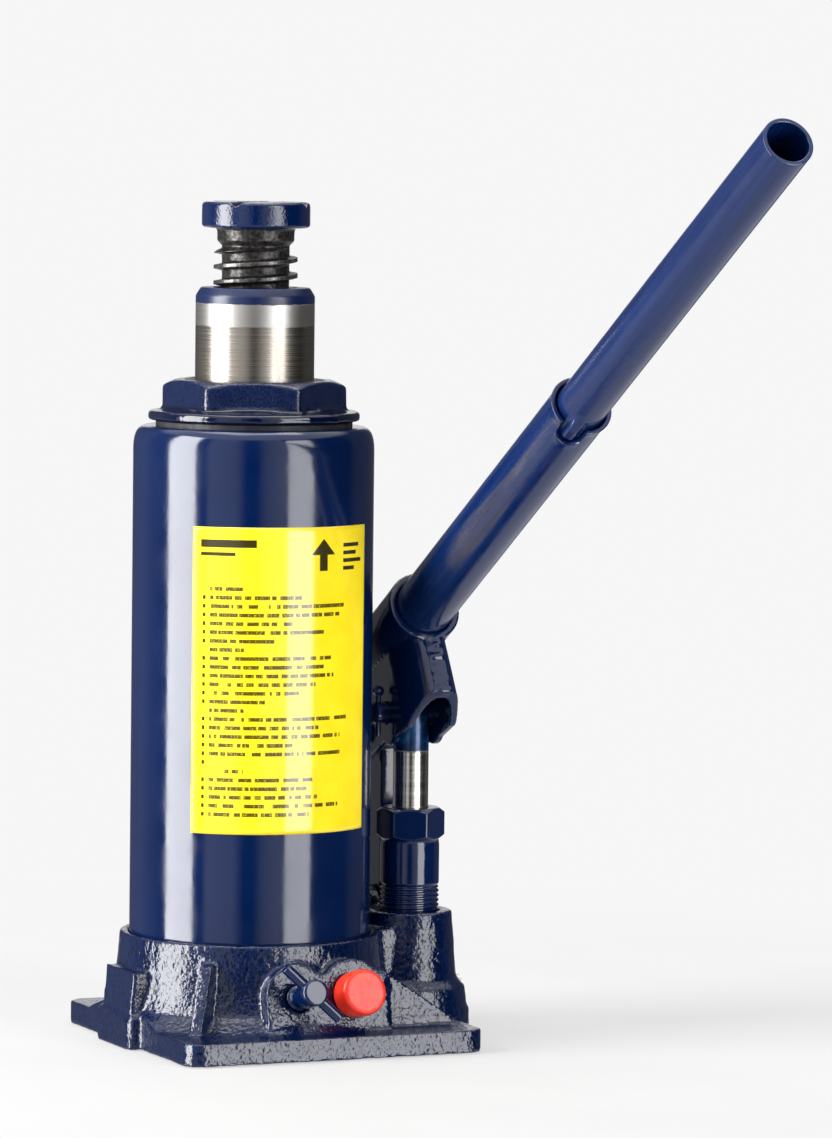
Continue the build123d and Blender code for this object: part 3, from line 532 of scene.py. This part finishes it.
def thread(root, crest, pitch, low, high, flat, base, run_in, run_out, sides=SIDES):
    """A right-hand thread: a point's height is its row's offset + pitch * angle / 360 degrees, kept between
    low and high. Its radius is root + (crest - root) * flank, where flank falls from 1 at the crest's flat
    to 0 at its base, and fades over run_in at the foot and run_out at the top. The angle runs a full turn,
    so the last column meets the first one pitch higher."""
    half = pitch / 2
    rise = (base - flat) / 2
    steps = np.r_[np.linspace(-half, -base / 2, 3)[:-1], np.linspace(-base / 2, -flat / 2, 5),
                  np.linspace(-flat / 2, flat / 2, 4)[1:-1], np.linspace(flat / 2, base / 2, 5),
                  np.linspace(base / 2, half, 3)[1:-1]]
    turns = int(np.ceil((high - low) / pitch)) + 2
    offset = (low - pitch + pitch * np.arange(turns)[:, None] + steps).ravel()
    flank = np.tile(ease(base / 2 - np.abs(steps), 0, rise), turns)
    angle = np.linspace(0, 2 * np.pi, sides + 1)
    height = np.clip(offset[:, None] + pitch * angle / (2 * np.pi), low, high)
    fade = ease(height, low, low + run_in) * (1 - ease(height, high - run_out, high))
    radius = root + (crest - root) * flank[:, None] * fade
    points = np.stack([radius * np.cos(angle), radius * np.sin(angle), height], axis=-1)
    return points, grid_faces(len(offset), sides + 1, cols_close=False)


def stack(name, *parts):
    """One welded piece from several sets of points and faces that meet edge to edge."""
    points = [part[0].reshape(-1, 3) for part in parts]
    start = np.cumsum([0] + [len(p) for p in points])
    faces = [part[1] + first for part, first in zip(parts, start)]
    return new_piece(name, np.concatenate(points), np.concatenate(faces))


def lathe(outline, sides=SIDES, foot=(0, 0, 0)):
    """Points and faces of a turned part, for a stack."""
    return turn_round(outline, sides, foot, UP, RIGHT), grid_faces(len(outline), sides)


screw_foot = lathe(rounded([(0, screw_low.z), (10.5 * mm, screw_low.z), (12.2 * mm, screw_low.z + 1 * mm),
                            (12.2 * mm, screw_low.z + 2 * mm), (11.2 * mm, screw_low.z + 2.1 * mm),
                            (11.2 * mm, screw_low.z + 3.5 * mm), (root_r, thread_z[0])], 0.2 * mm))
neck = rounded([(root_r, thread_z[1]), (11.5 * mm, thread_z[1] + 0.8 * mm), (neck_r, thread_z[1] + 1.6 * mm),
                (neck_r, saddle_foot), (saddle_r, saddle_foot), (saddle_r, screw_high.z), (0, screw_high.z)],
               np.array([0, 0.8, 0.6, 1.2, 1.5, 1.7, 0]) * mm, steps=6)
neck_part = lathe(refined(neck, 0.4 * mm))
screw = stack("lifting_screw", screw_foot,
              thread(root_r, crest_r, pitch, *thread_z, 1.3 * mm, 2.5 * mm, 2 * mm, 2.5 * mm), neck_part)
place, outward = points_of(screw.data)
x, y, z = place.T
groove_top = screw_high.z - 1.9 * mm
for side in (x + y, x - y):
    groove = groove_top + 0.9 * np.abs(side) / np.sqrt(2)
    z = np.where(z > groove_top - 0.2 * mm, np.minimum(z, groove), z)
rough = ease(z, thread_z[0], thread_z[0] + 4 * mm) * (1 - 0.7 * ease(z, saddle_foot, saddle_foot + 1 * mm))
place = np.stack([x, y, z], axis=1)
depth = (0.10 * mm * (1 + grain(place, 2.2 * mm, 6)) + 0.05 * mm * (1 + grain(place, 0.9 * mm, 7))) * rough
move_points(screw.data, place - outward * depth[:, None])


def forged_screw():
    """Black forged steel, a shade lighter where its crests are worn, and painted on the saddle."""
    finish, tree, shader = new_finish("screw_forged_steel")
    place = put(tree, "TexCoord").outputs["Object"]
    x, y, height = put(tree, "SeparateXYZ", {0: place}).outputs
    reach = calc(tree, "SQRT", calc(tree, "ADD", calc(tree, "MULTIPLY", x, x), calc(tree, "MULTIPLY", y, y)))
    paint = ranged(tree, height, saddle_foot - 0.4 * mm, saddle_foot + 0.2 * mm)
    worn = ranged(tree, calc(tree, "MULTIPLY_ADD", spots(tree, 1.8 * mm), 0.9 * mm, reach),
                  crest_r + 0.10 * mm, crest_r + 0.5 * mm)
    scale = ranged(tree, spots(tree, 1.2 * mm), 0.35, 0.65)
    black = blend_colours(tree, scale, (0.012, 0.011, 0.011, 1), (0.05, 0.047, 0.045, 1))
    steel = blend_colours(tree, worn, black, (0.12, 0.118, 0.115, 1))
    gloss = calc(tree, "MULTIPLY_ADD", worn, -0.08, ranged(tree, spots(tree, 0.8 * mm), 0.3, 0.7, 0.26, 0.44))
    gloss = calc(tree, "MULTIPLY_ADD", paint, -0.26, gloss)
    relief = raised(tree, spots(tree, 0.7 * mm), 0.09 * mm)
    join(tree, shader, Base_Color=blend_colours(tree, paint, steel, NAVY), Roughness=gloss, Normal=relief,
         Metallic=calc(tree, "MULTIPLY_ADD", calc(tree, "SUBTRACT", 1.0, paint), 0.7, 0.0))
    return finish


dress(screw, forged_screw(), "screw", "forged_steel", "extension_screw")

# ---- Pump cylinder
# Turned from hexagon bar, screwed into the foot and painted with it. Its fine thread shows above the boss.
pump_low, pump_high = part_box("pump_cylinder")
pump_x, pump_y = (pump_low.x + pump_high.x) / 2, (pump_low.y + pump_high.y) / 2
pump_foot = (pump_x, pump_y, 0)
body_r = 9.4 * mm
hex_half = 9.5 * mm
hex_foot = 61.5 * mm
bore = 5.7 * mm
boss_top = 39 * mm


def hexagon(low, high, turn):
    """The hexagon's skin: its radius is half the flats over cos of the angle from the nearest flat's middle,
    and no more than a cone's radius near its two ends, which takes the corners off."""
    height = np.r_[np.linspace(low, low + 1.6 * mm, 9), np.linspace(high - 1.6 * mm, high, 9)]
    angle = np.linspace(0, 2 * np.pi, SIDES, endpoint=False)
    from_flat = (angle - turn) % (np.pi / 3) - np.pi / 6
    flats = hex_half / np.cos(from_flat)
    cone = hex_half - 0.35 * mm + 1.3 * np.minimum(height - low, high - height)
    radius = np.minimum(flats, cone[:, None])
    height = np.broadcast_to(height[:, None], radius.shape)
    points = np.stack([radius * np.cos(angle), radius * np.sin(angle), height], axis=-1)
    return points, grid_faces(len(height), SIDES)


cone_r = hex_half - 0.35 * mm
thread_r = body_r - 0.5 * mm
thread_top = 46.8 * mm
pump_parts = [lathe(rounded([(bore, pump_low.z), (body_r, pump_low.z), (thread_r, boss_top)], 0.3 * mm)),
              thread(thread_r, body_r, pitch=1.5 * mm, low=boss_top, high=thread_top, flat=0.3 * mm,
                     base=1.1 * mm, run_in=0.2 * mm, run_out=0.8 * mm),
              lathe(rounded([(thread_r, thread_top), (body_r, thread_top + 0.6 * mm), (body_r, 59.6 * mm),
                             (cone_r, hex_foot)], 0.5 * mm)),
              hexagon(hex_foot, pump_high.z, np.radians(36)),
              lathe(rounded([(cone_r, pump_high.z), (bore, pump_high.z), (bore, pump_high.z - 6 * mm)],
                            np.array([0, 0.6, 0]) * mm)),
              lathe([(bore, pump_high.z - 6 * mm), (bore, pump_low.z)])]
pump = stack("pump_barrel", *[(points + pump_foot, faces) for points, faces in pump_parts])
dress(pump, gloss_enamel("pump_navy_enamel", 0.03 * mm), "jack_body", "blue_enamel", "pump_cylinder")

# ---- Pump plunger
# Ground and hardened rod. Spray from painting the handle's socket coloured its top end.
plunger_low, plunger_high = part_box("pump_plunger")
plunger_r = 5.65 * mm
spray_z = 89.5 * mm
outline = rounded([(0, plunger_low.z), (plunger_r, plunger_low.z), (plunger_r, plunger_high.z),
                   (0, plunger_high.z)], np.array([0, 0.5, 1.4, 0]) * mm)
plunger = turned("plunger_rod", outline, 72, foot=pump_foot)


def plunger_steel():
    """Bright ground steel that turns blue where the paint was sprayed."""
    finish, tree, shader = new_finish("plunger_ground_steel")
    spray = ranged(tree, calc(tree, "MULTIPLY_ADD", spots(tree, 2 * mm), 1.2 * mm, height_of(tree)),
                   spray_z + 0.2 * mm, spray_z + 1.2 * mm)
    rings = turning_marks(tree, 0.3 * mm)
    steel = blend_colours(tree, ranged(tree, rings, 0.3, 0.7), (0.42, 0.40, 0.36, 1), (0.62, 0.60, 0.56, 1))
    paint = blend_colours(tree, ranged(tree, spots(tree, 5 * mm), 0.35, 0.65), (0.004, 0.05, 0.14, 1), NAVY)
    join(tree, shader, Base_Color=blend_colours(tree, spray, steel, paint),
         Metallic=calc(tree, "MULTIPLY_ADD", spray, -0.75, 1.0),
         Roughness=ranged(tree, rings, 0.3, 0.7, 0.16, 0.26), Normal=raised(tree, rings, 0.003 * mm))
    return finish


dress(plunger, plunger_steel(), "plunger", "ground_steel", "pump_plunger")

# ---- Handle socket and fulcrum link
# The socket is thick sheet bent round the handle, its two cheeks welded together under the mouth. The link
# behind the pump is a forged strap. Both are painted, and their edges are rounded by the press.
handle_way = np.array(next(j for j in frame["joints"] if j["name"] == "handle_pull")["axis"])
handle_up = np.cross(handle_way, RIGHT)
handle_up = handle_up * np.sign(handle_up[2])
handle_foot = np.array([pump_x, pump_y, 130.73 * mm])
socket = cast_skin("handle_socket", "socket_sheet", 0.45 * mm, 5)
place, outward = points_of(socket.data)
depth = 0.05 * mm * (1 + grain(place, 5 * mm, 8))
along = (place - handle_foot) @ handle_way
below = -(place - handle_foot) @ handle_up
on_seam = (1 - ease(np.abs(place[:, 0] - pump_x), 2.2 * mm, 4 * mm)) * ease(along, -9 * mm, -3 * mm)
on_seam *= ease(below, 9 * mm, 12 * mm)
depth -= on_seam * 0.30 * mm * grain(place * (1, 1.6, 1.6), 3 * mm, 9)
move_points(socket.data, place - outward * depth[:, None])
dress(socket, gloss_enamel("socket_navy_enamel", 0.03 * mm), "socket", "blue_enamel", "handle_socket")

link = cast_skin("fulcrum_link", "link_strap", 0.5 * mm, 4)
place, outward = points_of(link.data)
move_points(link.data, place - outward * (0.06 * mm * (1 + grain(place, 2.5 * mm, 10)))[:, None])
dress(link, gloss_enamel("link_navy_enamel", 0.05 * mm), "link", "blue_enamel", "fulcrum_link")

# ---- Two-piece handle
# Two steel tubes, painted. The lower one's mouth is belled a little and has a U-shaped notch; the upper one
# slides into it and is kept from turning by a rib pressed out of its wall, which sits in the notch.
lower_r, lower_bore = 9.3 * mm, 7.95 * mm
upper_r, upper_wall = 7.68 * mm, 1.3 * mm
lower_foot, joint_at, upper_foot, tip_at = -32.5 * mm, 144 * mm, 100 * mm, 298.6 * mm
notch_half, notch_deep = 4 * mm, 8.5 * mm
notch_turn = np.radians(28)
notch_way = -np.sin(notch_turn) * np.array(RIGHT) - np.cos(notch_turn) * handle_up
notch_side = np.cross(handle_way, notch_way)


def tube_points(section, angle):
    """Carries a wall's section round the handle: foot + along * way + radius * (cos a * notch way +
    sin a * notch side). The section holds (along, radius) for each row and column."""
    spoke = np.outer(np.cos(angle), notch_way) + np.outer(np.sin(angle), notch_side)
    return handle_foot + section[..., 0, None] * handle_way + section[..., 1, None] * spoke


def lower_tube():
    """Rows go from the foot up the outside to the mouth and back down the bore. The mouth stands back by
    deep - half + sqrt(half^2 - s^2) within half a notch's width s, which is the U of the notch."""
    angle = np.linspace(-np.pi, np.pi, 288, endpoint=False)
    off = np.abs(lower_r * np.sin(angle)) + 1.0 * (np.cos(angle) < 0)
    u_shape = notch_deep - notch_half + np.sqrt(np.clip(notch_half**2 - off**2, 0, None))
    mouth = joint_at - u_shape * (1 - ease(off, notch_half - 0.05 * mm, notch_half + 0.35 * mm))
    step = np.r_[np.linspace(0, 0.9, 19), np.linspace(0.91, 1, 19)]
    edge = rounded([(0, 0), (0, 1), (-1, 1), (-1, 0)], 0.35, steps=5)[6:-6]
    wall = lower_r - lower_bore
    from_lip = (1 - step)[:, None] * (mouth - lower_foot)
    bell = 0.45 * mm * (1 - ease(from_lip, 0, 3.5 * mm)) * (1 - 0.6 * (mouth < joint_at - 0.2 * mm))
    outside = np.stack([lower_foot + step[:, None] * (mouth - lower_foot), lower_r + bell], axis=-1)
    lip_at = mouth[None] + 0 * edge[:, :1]
    lip_r = lower_r + bell[-1] + edge[:, :1] * wall
    lip = np.stack([lip_at + (edge[:, 1:] - 1) * wall * 0.5, lip_r], axis=-1)
    inside = outside[::-1].copy()
    inside[..., 1] -= wall
    section = np.concatenate([outside[:-1], lip, inside[1:]])
    points = tube_points(section, angle)
    return new_piece("lower_handle_tube", points, grid_faces(len(section), len(angle), rows_close=True))


def upper_tube():
    """A tube whose radius swells by rib * cap(s) * cap(d) over the rib, where s is the distance across it and
    d the distance along it; both caps fall from 1 to 0 with the curve 3t^2 - 2t^3."""
    angle = np.linspace(-np.pi, np.pi, 192, endpoint=False)
    near = np.linspace(joint_at - 12 * mm, joint_at + 12 * mm, 61)
    outside_at = np.unique(np.r_[upper_foot, near, np.linspace(joint_at + 14 * mm, tip_at - 0.5 * mm, 20)])
    lip = rounded([(tip_at - 0.5 * mm, 0), (tip_at, 0), (tip_at, -upper_wall),
                   (tip_at - 0.5 * mm, -upper_wall)], 0.45 * mm, steps=4)
    inside_at = np.linspace(tip_at - 0.6 * mm, upper_foot, 24)
    at = np.r_[outside_at, lip[:, 0], inside_at]
    radius = upper_r + np.r_[0 * outside_at, lip[:, 1], 0 * inside_at - upper_wall]
    across = np.abs(upper_r * np.sin(angle)) + 1.0 * (np.cos(angle) < 0)
    cap_across = 1 - ease(across, 0.8 * mm, 2.6 * mm)
    cap_along = ease(at, joint_at - 7.4 * mm, joint_at - 6.0 * mm)
    cap_along *= 1 - ease(at, joint_at - 2 * mm, joint_at + 6 * mm)
    outer = np.r_[np.ones(len(outside_at)), np.zeros(len(lip) + len(inside_at))]
    swell = 1.35 * mm * (cap_along * outer)[:, None] * cap_across
    section = np.stack([np.broadcast_to(at[:, None], swell.shape), radius[:, None] + swell], axis=-1)
    points = tube_points(section, angle)
    return new_piece("upper_handle_tube", points, grid_faces(len(section), len(angle), rows_close=True))


def handle_enamel():
    """Thin sprayed enamel with long draw marks under it, fine scratches and a few rubbed spots."""
    finish, tree, shader = new_finish("handle_navy_enamel")
    place = put(tree, "TexCoord").outputs["Object"]
    turn_to_handle = (float(np.arctan2(handle_way[1], handle_way[2])), 0, 0)
    lengthwise = put(tree, "Mapping", {"Vector": place, "Rotation": turn_to_handle}).outputs[0]
    drawn = put(tree, "Mapping", {"Vector": lengthwise, "Scale": (1, 1, 0.02)}).outputs[0]
    lines = put(tree, "TexNoise", {"Vector": drawn, "Scale": 1 / (1.2 * mm), "Detail": 3.0}).outputs["Fac"]
    askew = {"Vector": lengthwise, "Scale": (1, 1, 0.06), "Rotation": (0.1, 0.05, 0)}
    scratch = put(tree, "Mapping", askew).outputs[0]
    fine = put(tree, "TexNoise", {"Vector": scratch, "Scale": 1 / (0.3 * mm), "Detail": 2.0}).outputs["Fac"]
    rubbed = product(tree, ranged(tree, fine, 0.66, 0.74), ranged(tree, spots(tree, 16 * mm), 0.5, 0.65))
    shade = blend_colours(tree, ranged(tree, lines, 0.35, 0.65),
                          (0.0016, 0.011, 0.062, 1), (0.0030, 0.016, 0.082, 1))
    join(tree, shader, Base_Color=blend_colours(tree, rubbed, shade, (0.03, 0.04, 0.10, 1)),
         Roughness=ranged(tree, spots(tree, 10 * mm, 5.0), 0.3, 0.7, 0.16, 0.26),
         Normal=raised(tree, lines, 0.02 * mm))
    return finish


handle_paint = handle_enamel()
dress(lower_tube(), handle_paint, "lower_handle", "blue_enamel", "handle_lower_tube")
dress(upper_tube(), handle_paint, "upper_handle", "blue_enamel", "handle_upper_tube")

# ---- Release valve
# A steel screw that lets the oil back. Its head is turned round and flat-faced, and a steel pin goes
# through it to take the slotted end of the handle. Body colour covers both.
valve_joint = next(j for j in frame["joints"] if j["name"] == "release_turn")
valve_way = np.array(valve_joint["axis"])
valve_foot = np.array(valve_joint["pos_m"])
head_low, head_high = 6 * mm, 14 * mm
head_r, valve_neck_r, valve_thread_r = 4.2 * mm, 3.0 * mm, 4.0 * mm
valve_end = -16 * mm
outline = rounded([(0, valve_end), (valve_thread_r, valve_end), (valve_thread_r, -0.2 * mm),
                   (valve_neck_r, 0.4 * mm), (valve_neck_r, head_low), (head_r, head_low + 0.4 * mm),
                   (head_r, head_high), (0, head_high)],
                  np.array([0, 0.5, 0.3, 0.3, 0.6, 0.5, 1.1, 0]) * mm, steps=5)
valve = turned("release_screw_head", outline, 64, foot=valve_foot, axis=valve_way)
valve_enamel = gloss_enamel("valve_navy_enamel", 0.05 * mm)
dress(valve, valve_enamel, "release_screw", "blue_enamel", "release_valve")

pin_low, pin_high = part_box("release_cross_pin")
pin_r = 1.75 * mm
pin_middle = np.array((pin_high + pin_low) / 2)
pin_way = np.array(RIGHT) - np.cross(valve_way, RIGHT)
pin_way /= np.linalg.norm(pin_way)
reach = 11.75 * mm
outline = rounded([(0, -reach), (pin_r, -reach), (pin_r, reach), (0, reach)], np.array([0, 0.5, 0.5, 0]) * mm)
cross_pin = turned("release_grip_pin", refined(outline, 1 * mm), 40, foot=pin_middle, axis=pin_way,
                   across=valve_way)
dress(cross_pin, valve_enamel, "release_screw", "pin_steel", "release_cross_pin")

# ---- Safety valve cap
# Soft orange-red plastic cap, pressed over the pressure valve's screw, with a plain face and a rounded
# edge.
cap_low, cap_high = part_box("safety_valve_cap")
cap_foot = np.array([(cap_low.x + cap_high.x) / 2, valve_foot[1], valve_foot[2]])
cap_r, cap_top, cap_plug_r = 7.25 * mm, 9.0 * mm, 5.5 * mm
outline = rounded([(0, -5 * mm), (cap_plug_r, -5 * mm), (cap_plug_r, 0.2 * mm), (cap_r, 0.2 * mm),
                   (cap_r, cap_top), (0, cap_top)], np.array([0, 0.4, 0.2, 0.4, 1.8, 0]) * mm, steps=8)
cap = turned("safety_cap_red", refined(outline, 0.5 * mm), 96, foot=cap_foot, axis=valve_way)


def cap_plastic():
    """Red soft plastic, faintly marbled, with a fine leathery texture from its mould."""
    finish, tree, shader = new_finish("cap_red_plastic", Subsurface_Weight=0.15, Subsurface_Scale=1.5 * mm)
    red = blend_colours(tree, ranged(tree, spots(tree, 3 * mm), 0.35, 0.65), (0.76, 0.022, 0.006, 1),
                        (0.82, 0.040, 0.012, 1))
    pores = spots(tree, 0.5 * mm, 2.0)
    join(tree, shader, Base_Color=red, Roughness=ranged(tree, pores, 0.3, 0.7, 0.30, 0.44),
         Normal=raised(tree, pores, 0.05 * mm, raised(tree, spots(tree, 1.8 * mm, 1.0), 0.15 * mm)))
    return finish


dress(cap, cap_plastic(), "safety_cap", "red_plastic", "safety_valve_cap")

# ---- Pins, balls, seals and the other small parts
# Bought-in parts that keep their CAD shape: pins and cotters sprayed over with the body, hardened balls,
# a spring, rubber and urethane seals, a copper gasket and the honed main cylinder.


def steel_finish(name, dark, light, size, gloss):
    """Steel that is mottled between two shades, with fine scratches in its relief."""
    finish, tree, shader = new_finish(name, Metallic=1.0)
    cloud = ranged(tree, spots(tree, size), 0.35, 0.65)
    join(tree, shader, Base_Color=blend_colours(tree, cloud, dark, light),
         Roughness=ranged(tree, spots(tree, size / 4), 0.3, 0.7, gloss, gloss + 0.14),
         Normal=raised(tree, spots(tree, 0.4 * mm, 2.0), 0.01 * mm))
    return finish


def seal_finish(name, dark, light, gloss):
    """Rubber, urethane or copper sheet: slightly cloudy and matt, with a fine skin texture."""
    finish, tree, shader = new_finish(name)
    cloud = ranged(tree, spots(tree, 4 * mm), 0.35, 0.65)
    join(tree, shader, Base_Color=blend_colours(tree, cloud, dark, light),
         Roughness=ranged(tree, spots(tree, 0.8 * mm), 0.3, 0.7, gloss, gloss + 0.2),
         Normal=raised(tree, spots(tree, 0.35 * mm, 2.0), 0.03 * mm))
    return finish


small_parts = {
    steel_finish("plated_pin_steel", (0.30, 0.30, 0.31, 1), (0.50, 0.49, 0.46, 1), 5 * mm, 0.26):
        ("safety_screw", "passage_plug", "cup_washer"),
    gloss_enamel("pin_navy_enamel", 0.05 * mm):
        ("plunger_pin", "plunger_pin_cotter", "link_upper_pin", "link_upper_cotter", "link_lower_pin",
         "link_lower_cotter"),
    steel_finish("bright_ball_steel", (0.58, 0.58, 0.59, 1), (0.70, 0.70, 0.70, 1), 3 * mm, 0.08):
        ("suction_ball", "delivery_ball", "safety_ball", "release_ball"),
    steel_finish("oiled_spring_steel", (0.10, 0.10, 0.11, 1), (0.24, 0.23, 0.22, 1), 2 * mm, 0.30):
        ("safety_spring", "screw_stop_ring", "piston_snap_ring"),
    steel_finish("honed_cylinder_steel", (0.36, 0.36, 0.36, 1), (0.52, 0.52, 0.50, 1), 12 * mm, 0.20):
        ("inner_cylinder",),
    steel_finish("gasket_copper", (0.55, 0.21, 0.10, 1), (0.72, 0.33, 0.18, 1), 3 * mm, 0.30):
        ("cylinder_gasket", "pump_gasket"),
    seal_finish("black_rubber", (0.008, 0.008, 0.009, 1), (0.022, 0.022, 0.024, 1), 0.48):
        ("reservoir_gasket", "top_seal_ring", "ram_wiper", "oil_filler_plug"),
    seal_finish("amber_urethane", (0.35, 0.15, 0.03, 1), (0.50, 0.24, 0.06, 1), 0.30):
        ("piston_cup", "pump_seal"),
}
for finish, names in small_parts.items():
    for name in names:
        node = frame["nodes"].get(name)
        if node:
            for slot in node.material_slots:
                slot.material = finish

# ---- Studio
# A pale table top that fades into a pale backdrop, a tall soft light on the left, a dimmer one on the
# right, and one above. What the enamel mirrors towards the viewer is the dim side of the room.
view_turn, view_fall, view_roll = np.radians((23.99, 4.24, 0.67))
eye = Vector((-0.759258, -1.832732, 0.296006))
backdrop = (0.925, 0.925, 0.925, 1)
table_r = 0.75

camera_data = bpy.data.cameras.new("camera")
camera_data.lens = 199.57
camera_data.sensor_width = 36
camera_data.clip_end = 50
camera = bpy.data.objects.new("camera", camera_data)
scene.collection.objects.link(camera)
level = Matrix.Rotation(-view_turn, 4, "Z") @ Matrix.Rotation(np.pi / 2 - view_fall, 4, "X")
camera.matrix_world = Matrix.Translation(eye) @ level @ Matrix.Rotation(view_roll, 4, "Z")
scene.camera = camera
scene.view_settings.view_transform = "Standard"


def table_top():
    """A disc of rings round the object, whose radius grows as the square of the ring's number."""
    ring = np.linspace(0, 1, 24) ** 2 * table_r
    outline = np.stack([ring, 0 * ring], axis=1)
    return turned("table_top", outline, 96)


def table_finish():
    """Pale matt board near the object, turning into the glow of the backdrop towards its edge."""
    finish, tree, shader = new_finish("pale_table", Roughness=0.9, Specular_IOR_Level=0.1)
    place = put(tree, "TexCoord").outputs["Object"]
    reach = put(tree, "VectorMath", {0: place}, operation="LENGTH").outputs["Value"]
    glow = put(tree, "Emission", {"Color": backdrop})
    far = ranged(tree, reach, 0.16, 0.42, 0.55, 1.0)
    mix = put(tree, "MixShader", {0: far, 1: shader.outputs[0], 2: glow.outputs[0]})
    tree.links.new(mix.outputs[0], tree.nodes["Material Output"].inputs[0])
    shade = ranged(tree, spots(tree, 60 * mm), 0.3, 0.7)
    join(tree, shader, Base_Color=blend_colours(tree, shade, (0.60, 0.60, 0.60, 1), (0.63, 0.63, 0.63, 1)))
    return finish


table = table_top()
move_points(table.data, points_of(table.data)[0] * (1, 1, 0) - (0, 0, 0.0002))
if points_of(table.data)[1][0][2] < 0:
    table.data.flip_normals()
table.data.materials.append(table_finish())
table.visible_glossy = False

to_viewer = Vector((eye.x, eye.y, 0)).normalized()


def softbox(name, turn, spread, low, high, distance, power, tilt=0.0):
    """A tall soft light, turned to the viewer's right of the viewing direction by turn degrees."""
    way = Matrix.Rotation(np.radians(turn), 3, "Z") @ to_viewer
    light = bpy.data.lights.new(name, "AREA")
    light.shape = "RECTANGLE"
    light.size = 2 * distance * np.tan(np.radians(spread / 2))
    light.size_y = high - low
    light.energy = power
    lamp = bpy.data.objects.new(name, light)
    scene.collection.objects.link(lamp)
    lamp.location = way * distance + Vector((0, 0, (low + high) / 2))
    lamp.rotation_euler = (-way).to_track_quat("-Z", "Y").to_euler()
    lamp.visible_camera = False
    return lamp


softbox("left_softbox", -71.5, 31, -0.7, 1.3, 1.3, 74)
softbox("right_softbox", 46, 26, -0.7, 1.1, 1.4, 28)
top_light = softbox("top_softbox", 0, 40, 0, 0.9, 0.001, 12)
top_light.data.size = 1.0
top_light.location = (0.1, 0.2, 1.5)
top_light.rotation_euler = (0, 0, 0)


def room():
    """What the object mirrors: light that changes with the direction round the object, measured from the
    viewer, with a bright ceiling and a pale board below that only gloss shows. The eye itself sees the pale
    backdrop in every direction."""
    world = bpy.data.worlds.new("room")
    scene.world = world
    world.use_nodes = True
    tree = world.node_tree
    tree.nodes.clear()
    way = put(tree, "TexCoord").outputs["Generated"]
    x, y, z = put(tree, "SeparateXYZ", {0: way}).outputs
    right = calc(tree, "ADD", product(tree, x, -to_viewer.y), product(tree, y, to_viewer.x))
    front = calc(tree, "ADD", product(tree, x, to_viewer.x), product(tree, y, to_viewer.y))
    turn = calc(tree, "ARCTAN2", right, front)
    share = ranged(tree, turn, -np.pi, np.pi)
    tree.nodes[-1].interpolation_type = "LINEAR"
    ramp = put(tree, "ValToRGB", {"Fac": share})
    stops = [(-180, 0.95), (-174, 0.95), (-168, 0.07), (-140, 0.20), (-128, 0.30), (-104, 0.24),
             (-92, 0.10), (-54, 0.04), (-46, 0.10), (-43, 1.05), (-16, 0.82), (-7, 0.0), (4, 0.0),
             (12, 0.60), (29, 1.0), (32, 0.05), (62, 0.02), (104, 0.02), (113, 0.12), (150, 0.08),
             (168, 0.10), (174, 0.95), (180, 0.95)]
    while len(ramp.color_ramp.elements) < len(stops):
        ramp.color_ramp.elements.new(0.5)
    for element, (degrees, glow) in zip(ramp.color_ramp.elements, stops):
        element.position = degrees / 360 + 0.5
        element.color = (glow, glow, glow * 1.02, 1)
    ray = put(tree, "LightPath").outputs
    ceiling = product(tree, ranged(tree, z, 0.55, 0.70), ray["Is Glossy Ray"])
    board = product(tree, ranged(tree, z, -0.24, -0.36), ray["Is Glossy Ray"])
    sides = blend_colours(tree, board, ramp.outputs[0], (0.75, 0.75, 0.77, 1))
    mirrored = put(tree, "Background", {"Color": blend_colours(tree, ceiling, sides, (1.5, 1.5, 1.53, 1))})
    seen = put(tree, "Background", {"Color": backdrop})
    mix = put(tree, "MixShader", {0: ray["Is Camera Ray"], 1: mirrored.outputs[0], 2: seen.outputs[0]})
    tree.links.new(mix.outputs[0], put(tree, "OutputWorld").inputs[0])


room()
